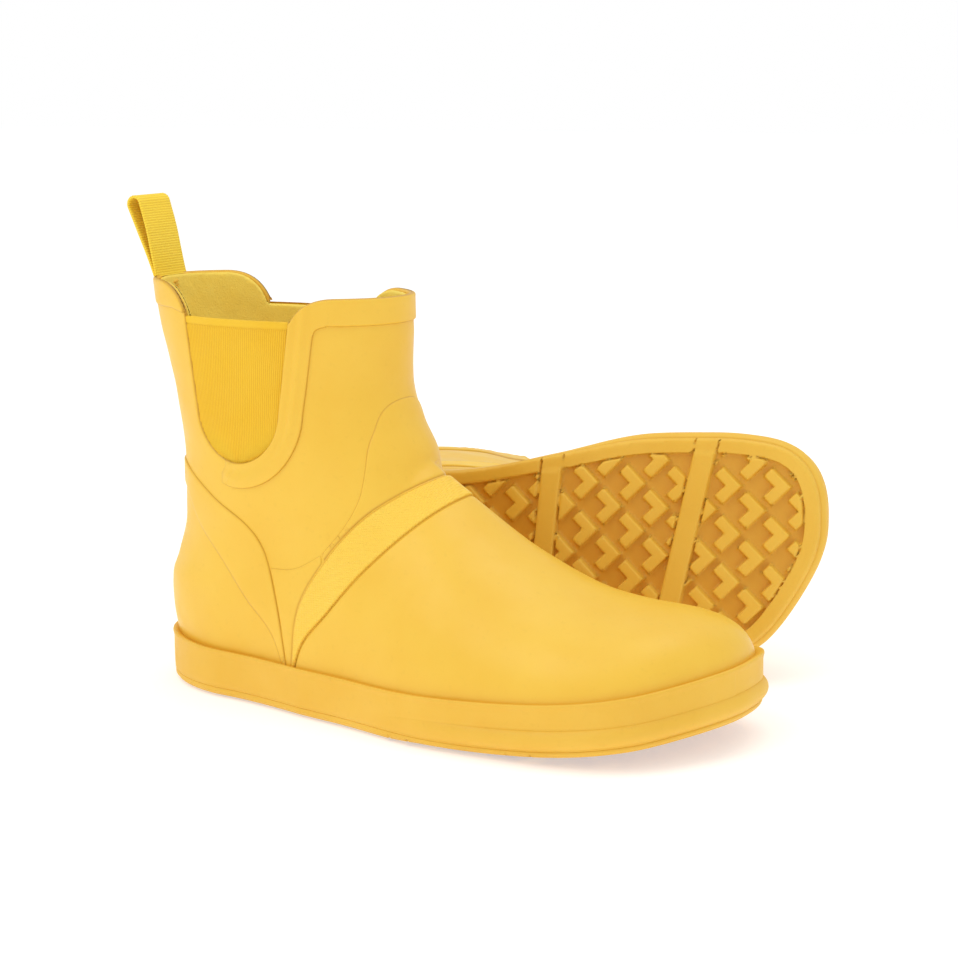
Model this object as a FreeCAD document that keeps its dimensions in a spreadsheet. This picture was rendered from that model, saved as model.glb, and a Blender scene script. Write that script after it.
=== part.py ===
"""Pair of pull-on rubber deck boots: the right boot stands, the left boot lies on its side.

Millimetres, +Z up.  +X runs from the heel to the toe of the standing right boot.  The right
boot is modelled piece by piece with x measured from the back of its heel; the left boot is
its mirror image, turned onto its side behind it.  At the end everything moves back a little,
so that the origin is on the floor just inside the back edge of the right heel.
"""
import FreeCAD, Part
import math
import os

os.makedirs("parts", exist_ok=True)
doc = FreeCAD.newDocument("deck_boots")
Vector = FreeCAD.Vector

SIZES = {
    # plan of the sole
    "sole_length": 262, "heel_half": 33, "waist_lateral": 44.5, "waist_medial": 28,
    "ball_lateral": 58, "ball_medial": 38, "toe_lateral": 32, "toe_medial": 41,
    "toe_swing": 11, "heel_rounding": 45, "toe_rounding": 47,
    # side view of the sole
    "toe_spring": 11, "spring_start": 162, "outsole_height": 7, "foxing_top": 20,
    "bumper_top": 12, "bumper_wall": 2.4, "tread_depth": 3, "rim_width": 6,
    "chevron_pitch": 20, "chevron_reach": 7.6, "chevron_width": 4.6,
    "bar_width": 8.5, "bar_groove": 2,
    # upper
    "upper_inset": 2.6, "shaft_half": 34.5, "shaft_front": 114, "instep_height": 100,
    "vamp_height": 52, "toe_height": 46, "toe_drop": 40,
    "collar_back": 170, "collar_front": 166, "collar_side": 157,
    # layers, each measured inwards or outwards from the face of the upper
    "gap": 0.4, "shell_wall": 1.6, "overlay_wall": 0.9, "counter_wall": 0.7,
    "lining_wall": 1.2, "board_height": 1.8, "footbed_height": 5, "footbed_room": 2.4,
    # elastic gore
    "gore_radius": 21.5, "gore_along": 56, "gore_centre": 120.5, "frame_width": 10.5,
    # pull loop
    "loop_width": 20, "loop_height": 33, "loop_bulge": 3, "loop_lean": 19, "webbing": 1,
    "stitch_radius": 0.35, "stitch_length": 2.4,
    # lying boot
    "lying_yaw": 12.7, "lying_pitch": 1.1, "lying_roll": -8.3,
    "lying_x": -1, "lying_y": 33, "lying_z": 53.3,
    # where the origin lies, inside the back edge of the standing heel
    "origin_inside": 3,
}

sheet = doc.addObject("Spreadsheet::Sheet", "Sizes")
for row, (name, value) in enumerate(SIZES.items(), 1):
    sheet.set("A%d" % row, name)
    sheet.set("B%d" % row, str(value))
    sheet.setAlias("B%d" % row, name)
doc.recompute()


def size(name):
    """A driving size in millimetres or degrees, read from the sheet."""
    return float(sheet.get(name))


# ---------------------------------------------------------------- form of the boot

def through(points):
    """Smooth function through (position, value) points without overshoot, level outside them."""
    xs = [p[0] for p in points]
    ys = [p[1] for p in points]
    rises = [(b[1] - a[1]) / (b[0] - a[0]) for a, b in zip(points, points[1:])]
    slopes = [rises[0]]
    for before, after in zip(rises, rises[1:]):
        turning = before * after <= 0
        slopes.append(0.0 if turning else 2 * before * after / (before + after))
    slopes.append(rises[-1])

    def value(x):
        if x <= xs[0]:
            return ys[0]
        if x >= xs[-1]:
            return ys[-1]
        i = max(k for k in range(len(xs) - 1) if xs[k] <= x)
        step = xs[i + 1] - xs[i]
        f = (x - xs[i]) / step
        g = 1 - f
        return (ys[i] * g * g * (1 + 2 * f) + ys[i + 1] * f * f * (1 + 2 * g)
                + step * f * g * (slopes[i] * g - slopes[i + 1] * f))
    return value


LENGTH = size("sole_length")
INSET = size("upper_inset")
GAP = size("gap")
SHAFT_FRONT = size("shaft_front")
INSTEP = size("instep_height")
FAR = 150            # reach of a cutting prism to either side
BLEND = 10           # width of the soft valley between shaft and foot
BLEND_CLIMB = 25     # height above the last's floor over which the valley comes in
LAST_FLOOR = 15      # height at which the upper starts to close in over the foot

lateral_half = through([
    (0, size("heel_half")), (0.17 * LENGTH, size("heel_half") + 1),
    (0.40 * LENGTH, size("waist_lateral")), (0.61 * LENGTH, size("ball_lateral") - 1),
    (0.76 * LENGTH, size("ball_lateral")), (0.90 * LENGTH, 0.9 * size("ball_lateral")),
    (LENGTH, size("toe_lateral"))])
medial_half = through([
    (0, size("heel_half")), (0.17 * LENGTH, size("heel_half")),
    (0.40 * LENGTH, size("waist_medial")), (0.57 * LENGTH, size("ball_medial") - 5),
    (0.73 * LENGTH, size("ball_medial")), (0.88 * LENGTH, size("ball_medial") - 1),
    (LENGTH, size("toe_medial"))])
ridge = through([
    (0.34 * LENGTH, 0), (0.57 * LENGTH, 0.34 * size("toe_swing")),
    (0.76 * LENGTH, 0.67 * size("toe_swing")), (LENGTH, size("toe_swing"))])
top_line = through([
    (60, INSTEP + 22), (108, INSTEP + 20), (125, INSTEP), (145, INSTEP - 15),
    (170, INSTEP - 32.5), (200, size("vamp_height")), (225, size("toe_height")),
    (LENGTH, size("toe_height") - 4)])
back_line = through([
    (20, INSET), (36, INSET - 1), (45, INSET - 0.6), (54, INSET + 3), (72, INSET + 8),
    (95, INSET + 8.7), (122, INSET + 5.7), (158, INSET - 4.2), (180, INSET - 6.8)])
front_line = through([
    (0, SHAFT_FRONT - 4), (60, SHAFT_FRONT + 14), (INSTEP, SHAFT_FRONT + 11),
    (INSTEP + 15, SHAFT_FRONT + 4), (INSTEP + 32, SHAFT_FRONT), (INSTEP + 50, SHAFT_FRONT + 1)])
shaft_half = through([
    (12, size("shaft_half") - 6.5), (30, size("shaft_half") - 3.5), (60, size("shaft_half") - 2.5),
    (85, size("shaft_half")), (113, size("shaft_half")), (158, size("shaft_half") - 1.8)])


SPRING_START = size("spring_start")
TOE_SPRING = size("toe_spring")
HEEL_ROUND = size("heel_rounding")
TOE_ROUND = size("toe_rounding")
TOE_DROP = size("toe_drop")
HEEL_POWER = 1.85    # higher powers make a rounding squarer
TOE_POWER = 2.49
DROP_POWER = 2.6


def spring(x):
    """How far the sole has risen off the floor at x."""
    part = max(0.0, (x - SPRING_START) / (LENGTH - SPRING_START))
    return TOE_SPRING * part * part


def plan_edge(x, side, inset, ends):
    """Half width with an inset taken off, rounded between the two given ends."""
    heel = min(1.0, max(0.0, 1 - (x - ends[0]) / HEEL_ROUND))
    toe = min(1.0, max(0.0, 1 - (ends[1] - x) / TOE_ROUND))
    full = (lateral_half if side < 0 else medial_half)(x) - inset
    return (full * (1 - heel ** HEEL_POWER) ** (1 / HEEL_POWER)
            * (1 - toe ** TOE_POWER) ** (1 / TOE_POWER))


def plan_half(x, side, inset=0.0):
    """Half width of the sole plan beside the ridge, side -1 lateral and +1 medial."""
    return plan_edge(x, side, inset, (inset, LENGTH - inset))


SQUARING_START = 120   # from the instep to the toe the cross-section gets squarer
SQUARING_REACH = 90
ROOF_POWERS = (1.75, 1.65)
ROOF_GAINS = (0.75, 0.45)
SHAFT_POWERS = (2.3, 2.1)


def foot_half(x, z, side):
    """Half width of the foot part of the upper, z measured from the sprung floor."""
    back = back_line(z)
    if x <= back or x >= LENGTH - INSET:
        return 0.0
    along = INSET + (LENGTH - 2 * INSET) * (x - back) / (LENGTH - INSET - back)
    drop = min(1.0, max(0.0, 1 - (LENGTH - INSET - x) / TOE_DROP))
    roof = (top_line(x) - LAST_FLOOR) * (1 - drop ** DROP_POWER) ** (1 / DROP_POWER)
    climb = max(0.0, z - LAST_FLOOR) / max(roof, 0.001)
    if climb >= 1:
        return 0.0
    square = min(1.0, max(0.0, (x - SQUARING_START) / SQUARING_REACH))
    rise_power = ROOF_POWERS[0] + ROOF_GAINS[0] * square
    round_power = ROOF_POWERS[1] + ROOF_GAINS[1] * square
    return plan_half(along, side, INSET) * (1 - climb ** rise_power) ** (1 / round_power)


def shaft_part_half(x, z):
    """Half width of the shaft part of the upper, a rounded oblong in plan."""
    back, front = back_line(z), front_line(z)
    off = abs(x - (front + back) / 2) / ((front - back) / 2)
    if off >= 1:
        return 0.0
    return shaft_half(z) * (1 - off ** SHAFT_POWERS[0]) ** (1 / SHAFT_POWERS[1])


def upper_half(x, height, side):
    """Half width of the upper at a true height, foot and shaft blended softly."""
    z = height - spring(x)
    foot, shaft = foot_half(x, z, side), shaft_part_half(x, z)
    near = max(0.0, BLEND - abs(foot - shaft)) / BLEND
    valley = near * near * BLEND / 4 * min(1.0, min(foot, shaft) / BLEND)
    climbed = min(1.0, max(0.0, z - LAST_FLOOR) / BLEND_CLIMB)
    return max(foot, shaft) + valley * climbed


TILT = 0.5           # section planes climb this much per millimetre towards the toe
SIDE_STEPS = 18
HEART = 50.0         # inside the upper on every section plane
EVEN = [step / (2 * SIDE_STEPS) for step in range(2 * SIDE_STEPS + 1)]


def section_ends(rise):
    """Back and front ends of the upper on the plane z = rise + TILT * x."""
    def half(x):
        return upper_half(x, rise + TILT * x, -1)

    def border(inside, outside):
        """Where the half width first becomes nothing, found by halving."""
        for _ in range(40):
            middle = (inside + outside) / 2
            if half(middle) > 0:
                inside = middle
            else:
                outside = middle
        return inside
    front = HEART
    while half(front) > 0:
        front += 2
    return border(HEART, -40.0), border(front - 2, front)


def base_section(rise):
    """Points (along, across) round the upper in one tilted plane, starting at the heel."""
    back, front = section_ends(rise)
    centre, reach = (back + front) / 2, (front - back) / 2
    scale = math.hypot(1, TILT)
    points = []
    for step in range(2 * SIDE_STEPS):
        angle = math.pi * step / SIDE_STEPS
        x = centre - reach * math.cos(angle)
        side = -1 if step <= SIDE_STEPS else 1
        at_end = step % SIDE_STEPS == 0
        half = 0.0 if at_end else upper_half(x, rise + TILT * x, side)
        points.append((x * scale, ridge(x) + side * half))
    return points


def moved_outwards(points, distance):
    """The same loop of points moved square to itself by a distance."""
    moved = []
    count = len(points)
    for i, (along, across) in enumerate(points):
        before, after = points[i - 1], points[(i + 1) % count]
        da, dc = after[0] - before[0], after[1] - before[1]
        long = math.hypot(da, dc)
        moved.append((along + distance * dc / long, across - distance * da / long))
    return moved


def rises():
    """Heights at x = 0 of the section planes: close together over the foot, wider above."""
    fine = [-126 + 7 * i for i in range(24)]
    coarse = [fine[-1] + 12 * (i + 1) for i in range(18)]
    return fine + coarse


SECTIONS = [(rise, base_section(rise)) for rise in rises()]


def upper_solid(outwards):
    """Closed body inside the surface lying a distance outwards of the face of the upper."""
    wires = []
    scale = math.hypot(1, TILT)
    for rise, points in SECTIONS:
        places = []
        for along, across in moved_outwards(points, outwards):
            x = along / scale
            places.append(Vector(x, across, rise + TILT * x))
        loop = Part.BSplineCurve()
        loop.interpolate(Points=places, Parameters=EVEN, PeriodicFlag=True)
        wires.append(Part.Wire(loop.toShape()))
    return Part.makeLoft(wires, True, False)


# ---------------------------------------------------------------- cutting tools

def spot(along, up):
    """Place in the side view, as parts of the sole length and of the instep height."""
    return Vector(along * LENGTH, -FAR, up * INSTEP)


def line(a, b):
    """Straight edge between two points."""
    return Part.LineSegment(a, b).toShape()


def spline(points):
    """Smooth edge through points."""
    curve = Part.BSplineCurve()
    curve.interpolate(points)
    return curve.toShape()


def shifted(points, along, up):
    """The same side-view points moved along and up."""
    return [p + Vector(along, 0, up) for p in points]


def ring_of(edges):
    """Closed wire from edges given in order; straight edges are added where they do not meet."""
    closed = []
    for edge, after in zip(edges, edges[1:] + edges[:1]):
        closed.append(edge)
        end, start = edge.lastVertex().Point, after.firstVertex().Point
        if end.distanceToPoint(start) > 0.001:
            closed.append(line(end, start))
    return Part.Wire(closed)


def side_prism(edges):
    """Body right across the boot whose side view is the given outline."""
    return Part.Face(ring_of(edges)).extrude(Vector(0, 2 * FAR, 0))


def backwards(points):
    """The same points in the opposite order."""
    return list(reversed(points))


BAND_STEPS = 12
RISE_STEPS = 5
BAND_BACK = -40
BAND_FRONT = LENGTH + 30


def evenly(start, end, steps):
    """Positions from start to end in equal steps."""
    return [start + (end - start) * i / steps for i in range(steps + 1)]


def sprung_line(height):
    """Side-view edges, heel first, at a height over the sprung floor.

    A number gives a straight edge up to the toe spring and a curve over it; a function of x
    gives one curve."""
    if callable(height):
        places = evenly(BAND_BACK, BAND_FRONT, BAND_STEPS)
        return [spline([Vector(x, -FAR, height(x) + spring(x)) for x in places])]
    risen = [Vector(x, -FAR, height + spring(x))
             for x in evenly(SPRING_START, BAND_FRONT, RISE_STEPS)]
    curve = Part.BSplineCurve()
    ahead = Vector(1, 0, 0)
    steepest = 2 * TOE_SPRING * (BAND_FRONT - SPRING_START) / (LENGTH - SPRING_START) ** 2
    curve.interpolate(Points=risen, InitialTangent=ahead, FinalTangent=ahead + Vector(0, 0, steepest))
    return [line(Vector(BAND_BACK, -FAR, height), risen[0]), curve.toShape()]


def band(low, high):
    """Body between two sprung heights, each a number or a function of x."""
    bottom, top = sprung_line(low), sprung_line(high)
    low_end, high_end = bottom[-1].lastVertex().Point, top[-1].lastVertex().Point
    start_low, start_high = bottom[0].firstVertex().Point, top[0].firstVertex().Point
    wire = Part.Wire(bottom + [line(low_end, high_end)] + top[::-1] + [line(start_high, start_low)])
    return Part.Face(wire).extrude(Vector(0, 2 * FAR, 0))


SKY = 400            # above everything
BACK_FLAT = 11       # the collar is level from the back of the heel to here
GORE_BACK = 29.5
GORE_FRONT = 82
FRONT_RISE = 17
LEVEL_SHARE = 0.6    # part of a scallop's run that its first control point takes
STEEP_SHARE = 0.12   # and how far before its foot, and how high over it, the last one lies
FALL_SHARE = 0.45


def collar_tool(lowered):
    """Everything above the scalloped collar, lowered by a distance."""
    back, dip, front = (size("collar_back") - lowered, size("collar_side") - lowered,
                        size("collar_front") - lowered)

    def at(x, z):
        return Vector(x, -FAR, z)

    def scallop(high_x, high, low_x):
        """Control points of an edge that starts level and drops ever steeper to the gore."""
        run, fall = low_x - high_x, high - dip
        return [at(high_x, high), at(high_x + LEVEL_SHARE * run, high),
                at(low_x - STEEP_SHARE * run, dip + FALL_SHARE * fall), at(low_x, dip)]

    def drawn(poles):
        curve = Part.BezierCurve()
        curve.setPoles(poles)
        return curve.toShape()
    return side_prism([
        line(at(BAND_BACK, back), at(BACK_FLAT, back)),
        drawn(scallop(BACK_FLAT, back, GORE_BACK)),
        line(at(GORE_BACK, dip), at(GORE_FRONT, dip)),
        drawn(backwards(scallop(GORE_FRONT + FRONT_RISE, front, GORE_FRONT))),
        line(at(GORE_FRONT + FRONT_RISE, front), at(BAND_FRONT, front + 1)),
        line(at(BAND_FRONT, SKY), at(BAND_BACK, SKY))])


BACK_FLARE = 0.15    # how fast the gore widens upwards on its back and front edges
FRONT_FLARE = 0.10
GORE_X = size("gore_along")
GORE_Z = size("gore_centre")


def gore_spot(reach, degrees):
    """Side-view point at a distance and direction from the middle of the gore."""
    angle = math.radians(degrees)
    return Vector(GORE_X + reach * math.cos(angle), -FAR, GORE_Z + reach * math.sin(angle))


def gore_arc(reach, start, end):
    """Arc round the middle of the gore between two directions."""
    middle = (start + end) / 2
    return Part.Arc(gore_spot(reach, start), gore_spot(reach, middle),
                    gore_spot(reach, end)).toShape()


def gore_prism(margin):
    """The U of the elastic gore, grown by a margin and open above the collar."""
    reach = size("gore_radius") + margin
    up = SKY - GORE_Z
    return side_prism([
        gore_arc(reach, 180, 360),
        line(gore_spot(reach, 0), gore_spot(reach, 0) + Vector(FRONT_FLARE * up, 0, up)),
        line(gore_spot(reach, 180) + Vector(-BACK_FLARE * up, 0, up), gore_spot(reach, 180))])


BAND_HEIGHT = 11
EDGE_GAP = 1.5 * GAP   # between the edge of the gore and the frame or band beside it
FRAME_END = 248      # direction, seen from the middle of the gore, where its frame stops
CORNER = 5


def collar_band_prism():
    """Front collar band together with the frame that runs down and under the gore."""
    inner = size("gore_radius") + EDGE_GAP
    outer = size("gore_radius") + size("frame_width")
    base = size("collar_front") - BAND_HEIGHT
    shoulder = GORE_X + outer + FRONT_FLARE * (base - CORNER - GORE_Z)
    up = SKY - GORE_Z
    bend = Part.BezierCurve()
    bend.setPoles([Vector(shoulder, -FAR, base - CORNER), Vector(shoulder, -FAR, base),
                   Vector(shoulder + CORNER, -FAR, base)])
    return side_prism([
        bend.toShape(),
        line(Vector(BAND_FRONT, -FAR, base), Vector(BAND_FRONT, -FAR, SKY)),
        line(gore_spot(inner, 360) + Vector(FRONT_FLARE * up, 0, up), gore_spot(inner, 360)),
        gore_arc(inner, 360, FRAME_END),
        gore_arc(outer, FRAME_END, 360)])


def rear_band_prism():
    """Collar band that runs round the back from gore to gore."""
    reach = size("gore_radius") + EDGE_GAP
    base = size("collar_back") - BAND_HEIGHT
    edge = GORE_X - reach - BACK_FLARE * (base - GORE_Z)
    return side_prism([
        line(Vector(BAND_BACK, -FAR, base), Vector(edge, -FAR, base)),
        line(Vector(edge - BACK_FLARE * (SKY - base), -FAR, SKY), Vector(BAND_BACK, -FAR, SKY))])


HEEL_STRAP_TOP = [spot(-0.04, 0.97), spot(0.046, 0.96), spot(0.087, 0.94), spot(0.174, 0.82),
                  spot(0.229, 0.74), spot(0.26, 0.645), spot(0.28, 0.50), spot(0.294, 0.36),
                  spot(0.309, 0.15)]
HEEL_STRAP_FOOT = [spot(-0.04, 0.86), spot(0.046, 0.85), spot(0.083, 0.82), spot(0.119, 0.70),
                   spot(0.174, 0.57), spot(0.222, 0.43), spot(0.273, 0.30), spot(0.300, 0.15)]
SADDLE_EDGE = [spot(0.50, 1.32), spot(0.438, 1.25), spot(0.425, 1.12), spot(0.425, 0.99),
               spot(0.421, 0.87), spot(0.402, 0.765), spot(0.368, 0.655)]
WAIST_EDGE = [spot(0.366, 0.612), spot(0.323, 0.59), spot(0.280, 0.575)]
STRAP_TOP = [spot(0.318, 0.15), spot(0.330, 0.42), spot(0.374, 0.625), spot(0.429, 0.795),
             spot(0.478, 0.90), spot(0.54, 1.00), spot(0.60, 1.10)]
STRAP_FOOT = [spot(0.318, 0.12), spot(0.342, 0.29), spot(0.389, 0.43), spot(0.448, 0.61),
              spot(0.503, 0.76), spot(0.545, 0.87), spot(0.61, 1.02)]


SEAM = 0.7 * GAP       # how far a neighbour stands off a slanting strap, along and up


def heel_strap_prism():
    """Strap that wraps the heel and comes down to the sidewall at the waist."""
    return side_prism([spline(HEEL_STRAP_TOP), spline(backwards(HEEL_STRAP_FOOT))])


def saddle_prism():
    """Panel over the instep, between the shaft and the top of the instep strap."""
    clear_of_strap = shifted(STRAP_TOP[2:], -SEAM, SEAM)
    return side_prism([spline(SADDLE_EDGE), spline(clear_of_strap)])


def waist_prism():
    """Small panel in the fork between the heel strap and the instep strap."""
    clear_of_heel = shifted(HEEL_STRAP_TOP[6:], GAP, 0)
    fork = side_prism([spline(WAIST_EDGE), spline(clear_of_heel), spline(STRAP_TOP[:3])])
    clear_of_strap = shifted(STRAP_TOP, -2 * SEAM, SEAM)
    ahead = side_prism([
        spline(clear_of_strap),
        line(Vector(BAND_FRONT, -FAR, INSTEP), Vector(BAND_FRONT, -FAR, 0))])
    return fork.cut(ahead)


def instep_strap_prism():
    """Strap from the sidewall at the waist up over the instep."""
    return side_prism([spline(STRAP_TOP), spline(backwards(STRAP_FOOT))])


def vamp_prism():
    """Everything in front of the instep strap."""
    clear_of_strap = shifted(STRAP_FOOT, SEAM, -SEAM)
    return side_prism([
        spline(clear_of_strap),
        line(Vector(BAND_FRONT, -FAR, INSTEP), Vector(BAND_FRONT, -FAR, 0))])


# ---------------------------------------------------------------- sole pieces

PLAN_STEPS = 30
BELOW = -20


def plan_face(inset):
    """Level face inside the plan outline; the inset is a number or a function of x."""
    inset_at = inset if callable(inset) else (lambda x: inset)
    ends = inset_at(0), LENGTH - inset_at(LENGTH)
    centre, reach = (ends[0] + ends[1]) / 2, (ends[1] - ends[0]) / 2
    places = []
    for step in range(2 * PLAN_STEPS):
        angle = math.pi * step / PLAN_STEPS
        x = centre - reach * math.cos(angle)
        side = -1 if step <= PLAN_STEPS else 1
        full = 0.0 if step % PLAN_STEPS == 0 else plan_edge(x, side, inset_at(x), ends)
        places.append(Vector(x, ridge(x) + side * full, BELOW))
    loop = Part.BSplineCurve()
    loop.interpolate(Points=places, PeriodicFlag=True)
    return Part.Face(Part.Wire(loop.toShape()))


def flat_polygon(points):
    """Level face with the given (x, y) corners."""
    corners = [Vector(x, y, BELOW) for x, y in points]
    return Part.Face(Part.makePolygon(corners + corners[:1]))


def tread_bar(centre_x, lean, width):
    """Bar right across the sole, leaning forwards on the medial side."""
    half, reach = width / 2, 90
    skew = math.tan(math.radians(lean)) * reach
    return flat_polygon([(centre_x - half - skew, -reach), (centre_x + half - skew, -reach),
                         (centre_x + half + skew, reach), (centre_x - half + skew, reach)])


BARS = [(0.56 * LENGTH, 5), (0.787 * LENGTH, 12)]     # middle of each bar and its lean


def chevron(x, y):
    """Plan of one V-shaped lug with its tip at (x, y)."""
    reach = size("chevron_reach")
    across = size("chevron_width") / math.sqrt(2)
    return flat_polygon([
        (x, y), (x - reach, y + reach), (x - reach - across, y + reach - across),
        (x - 2 * across, y), (x - reach - across, y - reach + across), (x - reach, y - reach)])


def chevrons():
    """V-shaped lugs pointing to the toe, on a staggered square grid."""
    half = size("chevron_pitch") / 2
    across_steps = 7
    along_steps = int(LENGTH / half) + 2
    lugs = []
    for i in range(along_steps):
        for j in range(-across_steps, across_steps + 1):
            if (i + j) % 2 == 1:
                lugs.append(chevron(half * i, half * (j + 0.6)))
    return lugs


def tread_recess():
    """Plans of the sunken tread floor: the fields inside the rim, less bars and lugs."""
    rim = size("rim_width")
    field = plan_face(rim)
    for centre, lean in BARS:
        field = field.cut(tread_bar(centre, lean, size("bar_width")))
    lug_room = plan_face(rim + size("bar_groove"))
    for centre, lean in BARS:
        lug_room = lug_room.cut(
            tread_bar(centre, lean, size("bar_width") + 2 * size("bar_groove")))
    lugs = lug_room.common(Part.makeCompound(chevrons()))
    return field.cut(lugs).Faces


def foxing_top(x):
    """Height of the foxing above the sprung floor: a little lower at the waist."""
    return size("foxing_top") + foxing_wave(x)


foxing_wave = through([(0, 0.5), (0.23 * LENGTH, -0.6), (0.46 * LENGTH, -0.6),
                       (0.69 * LENGTH, 0.9), (LENGTH, 2.2)])
JOINT = 0.3          # clearance between stacked sole pieces
FILLER_TOP = 11.2
SHELL_FLOOR = 11.5
BOARD_FLOOR = SHELL_FLOOR + size("shell_wall") + GAP
LINING_FLOOR = BOARD_FLOOR + size("board_height") + GAP
BED_FLOOR = LINING_FLOOR + size("lining_wall") + GAP


BUMPER_START = 0.42 * LENGTH
BUMPER_GROWTH = 0.35 * LENGTH
BUMPER_THIN = 0.4    # wall where the bumper starts


def bumper_outset(x):
    """Negative inset of the toe bumper, which grows out of the sidewall towards the toe."""
    part = min(1.0, max(0.0, (x - BUMPER_START) / BUMPER_GROWTH))
    grown = (size("bumper_wall") - BUMPER_THIN) * part * part * (3 - 2 * part)
    return -(JOINT + BUMPER_THIN + grown)


def feature(name, shape):
    """Document object that holds a computed shape."""
    made = doc.addObject("Part::Feature", name)
    made.Shape = shape
    return made


def boolean(kind, name, base, tool):
    """Document object that is a common, cut or fusion of two others."""
    made = doc.addObject(kind, name)
    made.Base = base
    made.Tool = tool
    made.Refine = False
    return made


def standing(name, face):
    """A plan face pulled upwards through the whole sole."""
    made = doc.addObject("Part::Extrusion", name)
    made.Base = feature(name + "_plan", face)
    made.Dir = Vector(0, 0, 1)
    made.LengthFwd = 80
    made.Solid = True
    return made


def outsole():
    """Outsole slab that follows the toe spring, with its tread cut into the underside."""
    block = boolean("Part::Common", "outsole_block", standing("outsole_column", plan_face(0)),
                    feature("outsole_band", band(0, size("outsole_height"))))
    tread_band = feature("tread_band", band(2 * BELOW, size("tread_depth")))
    plans = tread_recess()
    for number, plan in enumerate(plans, 1):
        recess = boolean("Part::Common", "tread_recess_%d" % number,
                         standing("tread_column_%d" % number, plan), tread_band)
        name = "right_outsole" if number == len(plans) else "treaded_block_%d" % number
        block = boolean("Part::Cut", name, block, recess)
    return block


def foxing_foot(x):
    """Unsprung height of the underside of the foxing strip."""
    return size("outsole_height") + JOINT


def foxing_strip(inner):
    """Sidewall strip round the foot of the upper."""
    block = boolean("Part::Common", "foxing_block", standing("foxing_column", plan_face(0)),
                    feature("foxing_band", band(foxing_foot, foxing_top)))
    return boolean("Part::Cut", "right_foxing_strip", block, feature("foxing_hollow", inner))


def toe_bumper():
    """Raised band on the sidewall that grows towards the toe."""
    ring = boolean("Part::Cut", "bumper_ring",
                   standing("bumper_column", plan_face(bumper_outset)),
                   standing("bumper_hollow", plan_face(-JOINT)))
    front = side_prism([
        line(Vector(BUMPER_START, -FAR, BELOW), Vector(BAND_FRONT, -FAR, BELOW)),
        line(Vector(BAND_FRONT, -FAR, SKY), Vector(BUMPER_START, -FAR, SKY))])
    reach = band(size("tread_depth"), size("bumper_top")).common(front)
    return boolean("Part::Common", "right_toe_bumper", ring, feature("bumper_band", reach))


# ---------------------------------------------------------------- upper pieces

def above(height):
    """Everything above a sprung height."""
    return band(height, SKY)


def single_solid(shape):
    """The single solid of a boolean result, or the result itself when it has several."""
    return shape.Solids[0] if len(shape.Solids) == 1 else shape


def right_piece(name, shape):
    """Document object for one finished piece of the right boot."""
    return feature("right_" + name, single_solid(shape))


def half_space(side):
    """Everything lateral (-1) or medial (+1) of the boot's middle plane."""
    slab = Part.makeBox(LENGTH + 100, FAR, 2 * SKY, Vector(-50, 0, -SKY))
    return slab if side > 0 else slab.mirror(Vector(0, 0, 0), Vector(0, 1, 0))


SHELL_IN = -size("shell_wall")
COUNTER_OUT = SHELL_IN - JOINT
COUNTER_IN = COUNTER_OUT - size("counter_wall")
LINING_OUT = COUNTER_IN - GAP
LINING_IN = LINING_OUT - size("lining_wall")
BED_EDGE = LINING_IN - size("footbed_room")
OVERLAY_OUT = GAP + size("overlay_wall")


def upper_pieces(face, overlay_base):
    """Rubber shell with its gore openings, the two gores and the overlays glued on it."""
    collar = collar_tool(0)
    wall = face.common(above(SHELL_FLOOR)).cut(collar)
    inside = upper_solid(SHELL_IN).common(above(SHELL_FLOOR + size("shell_wall")))
    wall = wall.cut(inside)
    gore = wall.common(gore_prism(-GAP))
    right_piece("upper_shell", wall.cut(gore_prism(0)))
    right_piece("gore_lateral", gore.common(half_space(-1)))
    right_piece("gore_medial", gore.common(half_space(1)))

    skin = upper_solid(OVERLAY_OUT).cut(overlay_base).cut(collar_tool(1))
    skin = skin.common(above(lambda x: foxing_top(x) + GAP))
    for name, prism in (("toe_vamp", vamp_prism()), ("instep_strap", instep_strap_prism()),
                        ("saddle_panel", saddle_prism()), ("waist_panel", waist_prism()),
                        ("heel_strap", heel_strap_prism()),
                        ("collar_band", collar_band_prism()),
                        ("rear_collar_band", rear_band_prism())):
        right_piece(name, skin.common(prism))


COUNTER_FRONT = 75
COUNTER_TOP = 60
ANCHOR_FOOT = 150
LINING_DROP = 0.8    # the lining stops this far under the rubber edge of the collar


def inner_pieces():
    """Board, heel counter, textile lining, removable footbed and the sewn-in webbing end."""
    board_room = upper_solid(COUNTER_OUT)
    pocket_core = upper_solid(COUNTER_IN)
    right_piece("insole_board", board_room.common(
        band(BOARD_FLOOR, BOARD_FLOOR + size("board_height"))))
    heel = Part.makeBox(COUNTER_FRONT + 50, 2 * FAR, COUNTER_TOP - LINING_FLOOR,
                        Vector(-50, -FAR, LINING_FLOOR))
    right_piece("heel_counter", board_room.common(heel).cut(pocket_core))
    half = size("loop_width") / 2
    strip = Part.makeBox(40, 2 * half, size("collar_back") - 1 - ANCHOR_FOOT,
                         Vector(-30, -half, ANCHOR_FOOT))
    right_piece("loop_anchor", board_room.common(strip).cut(pocket_core))

    sock_collar = collar_tool(LINING_DROP)
    outer = upper_solid(LINING_OUT).common(above(LINING_FLOOR)).cut(sock_collar)
    inner = upper_solid(LINING_IN)
    inner_room = inner.common(above(LINING_FLOOR + size("lining_wall")))
    right_piece("lining_sock", outer.cut(inner_room))
    right_piece("footbed", upper_solid(BED_EDGE).common(
        band(BED_FLOOR, BED_FLOOR + size("footbed_height"))))
    return inner


# ---------------------------------------------------------------- pull loop

HINGE_X = back_line(size("collar_back")) + 1.2
HINGE_Z = size("collar_back") + size("webbing") + 0.5


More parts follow.
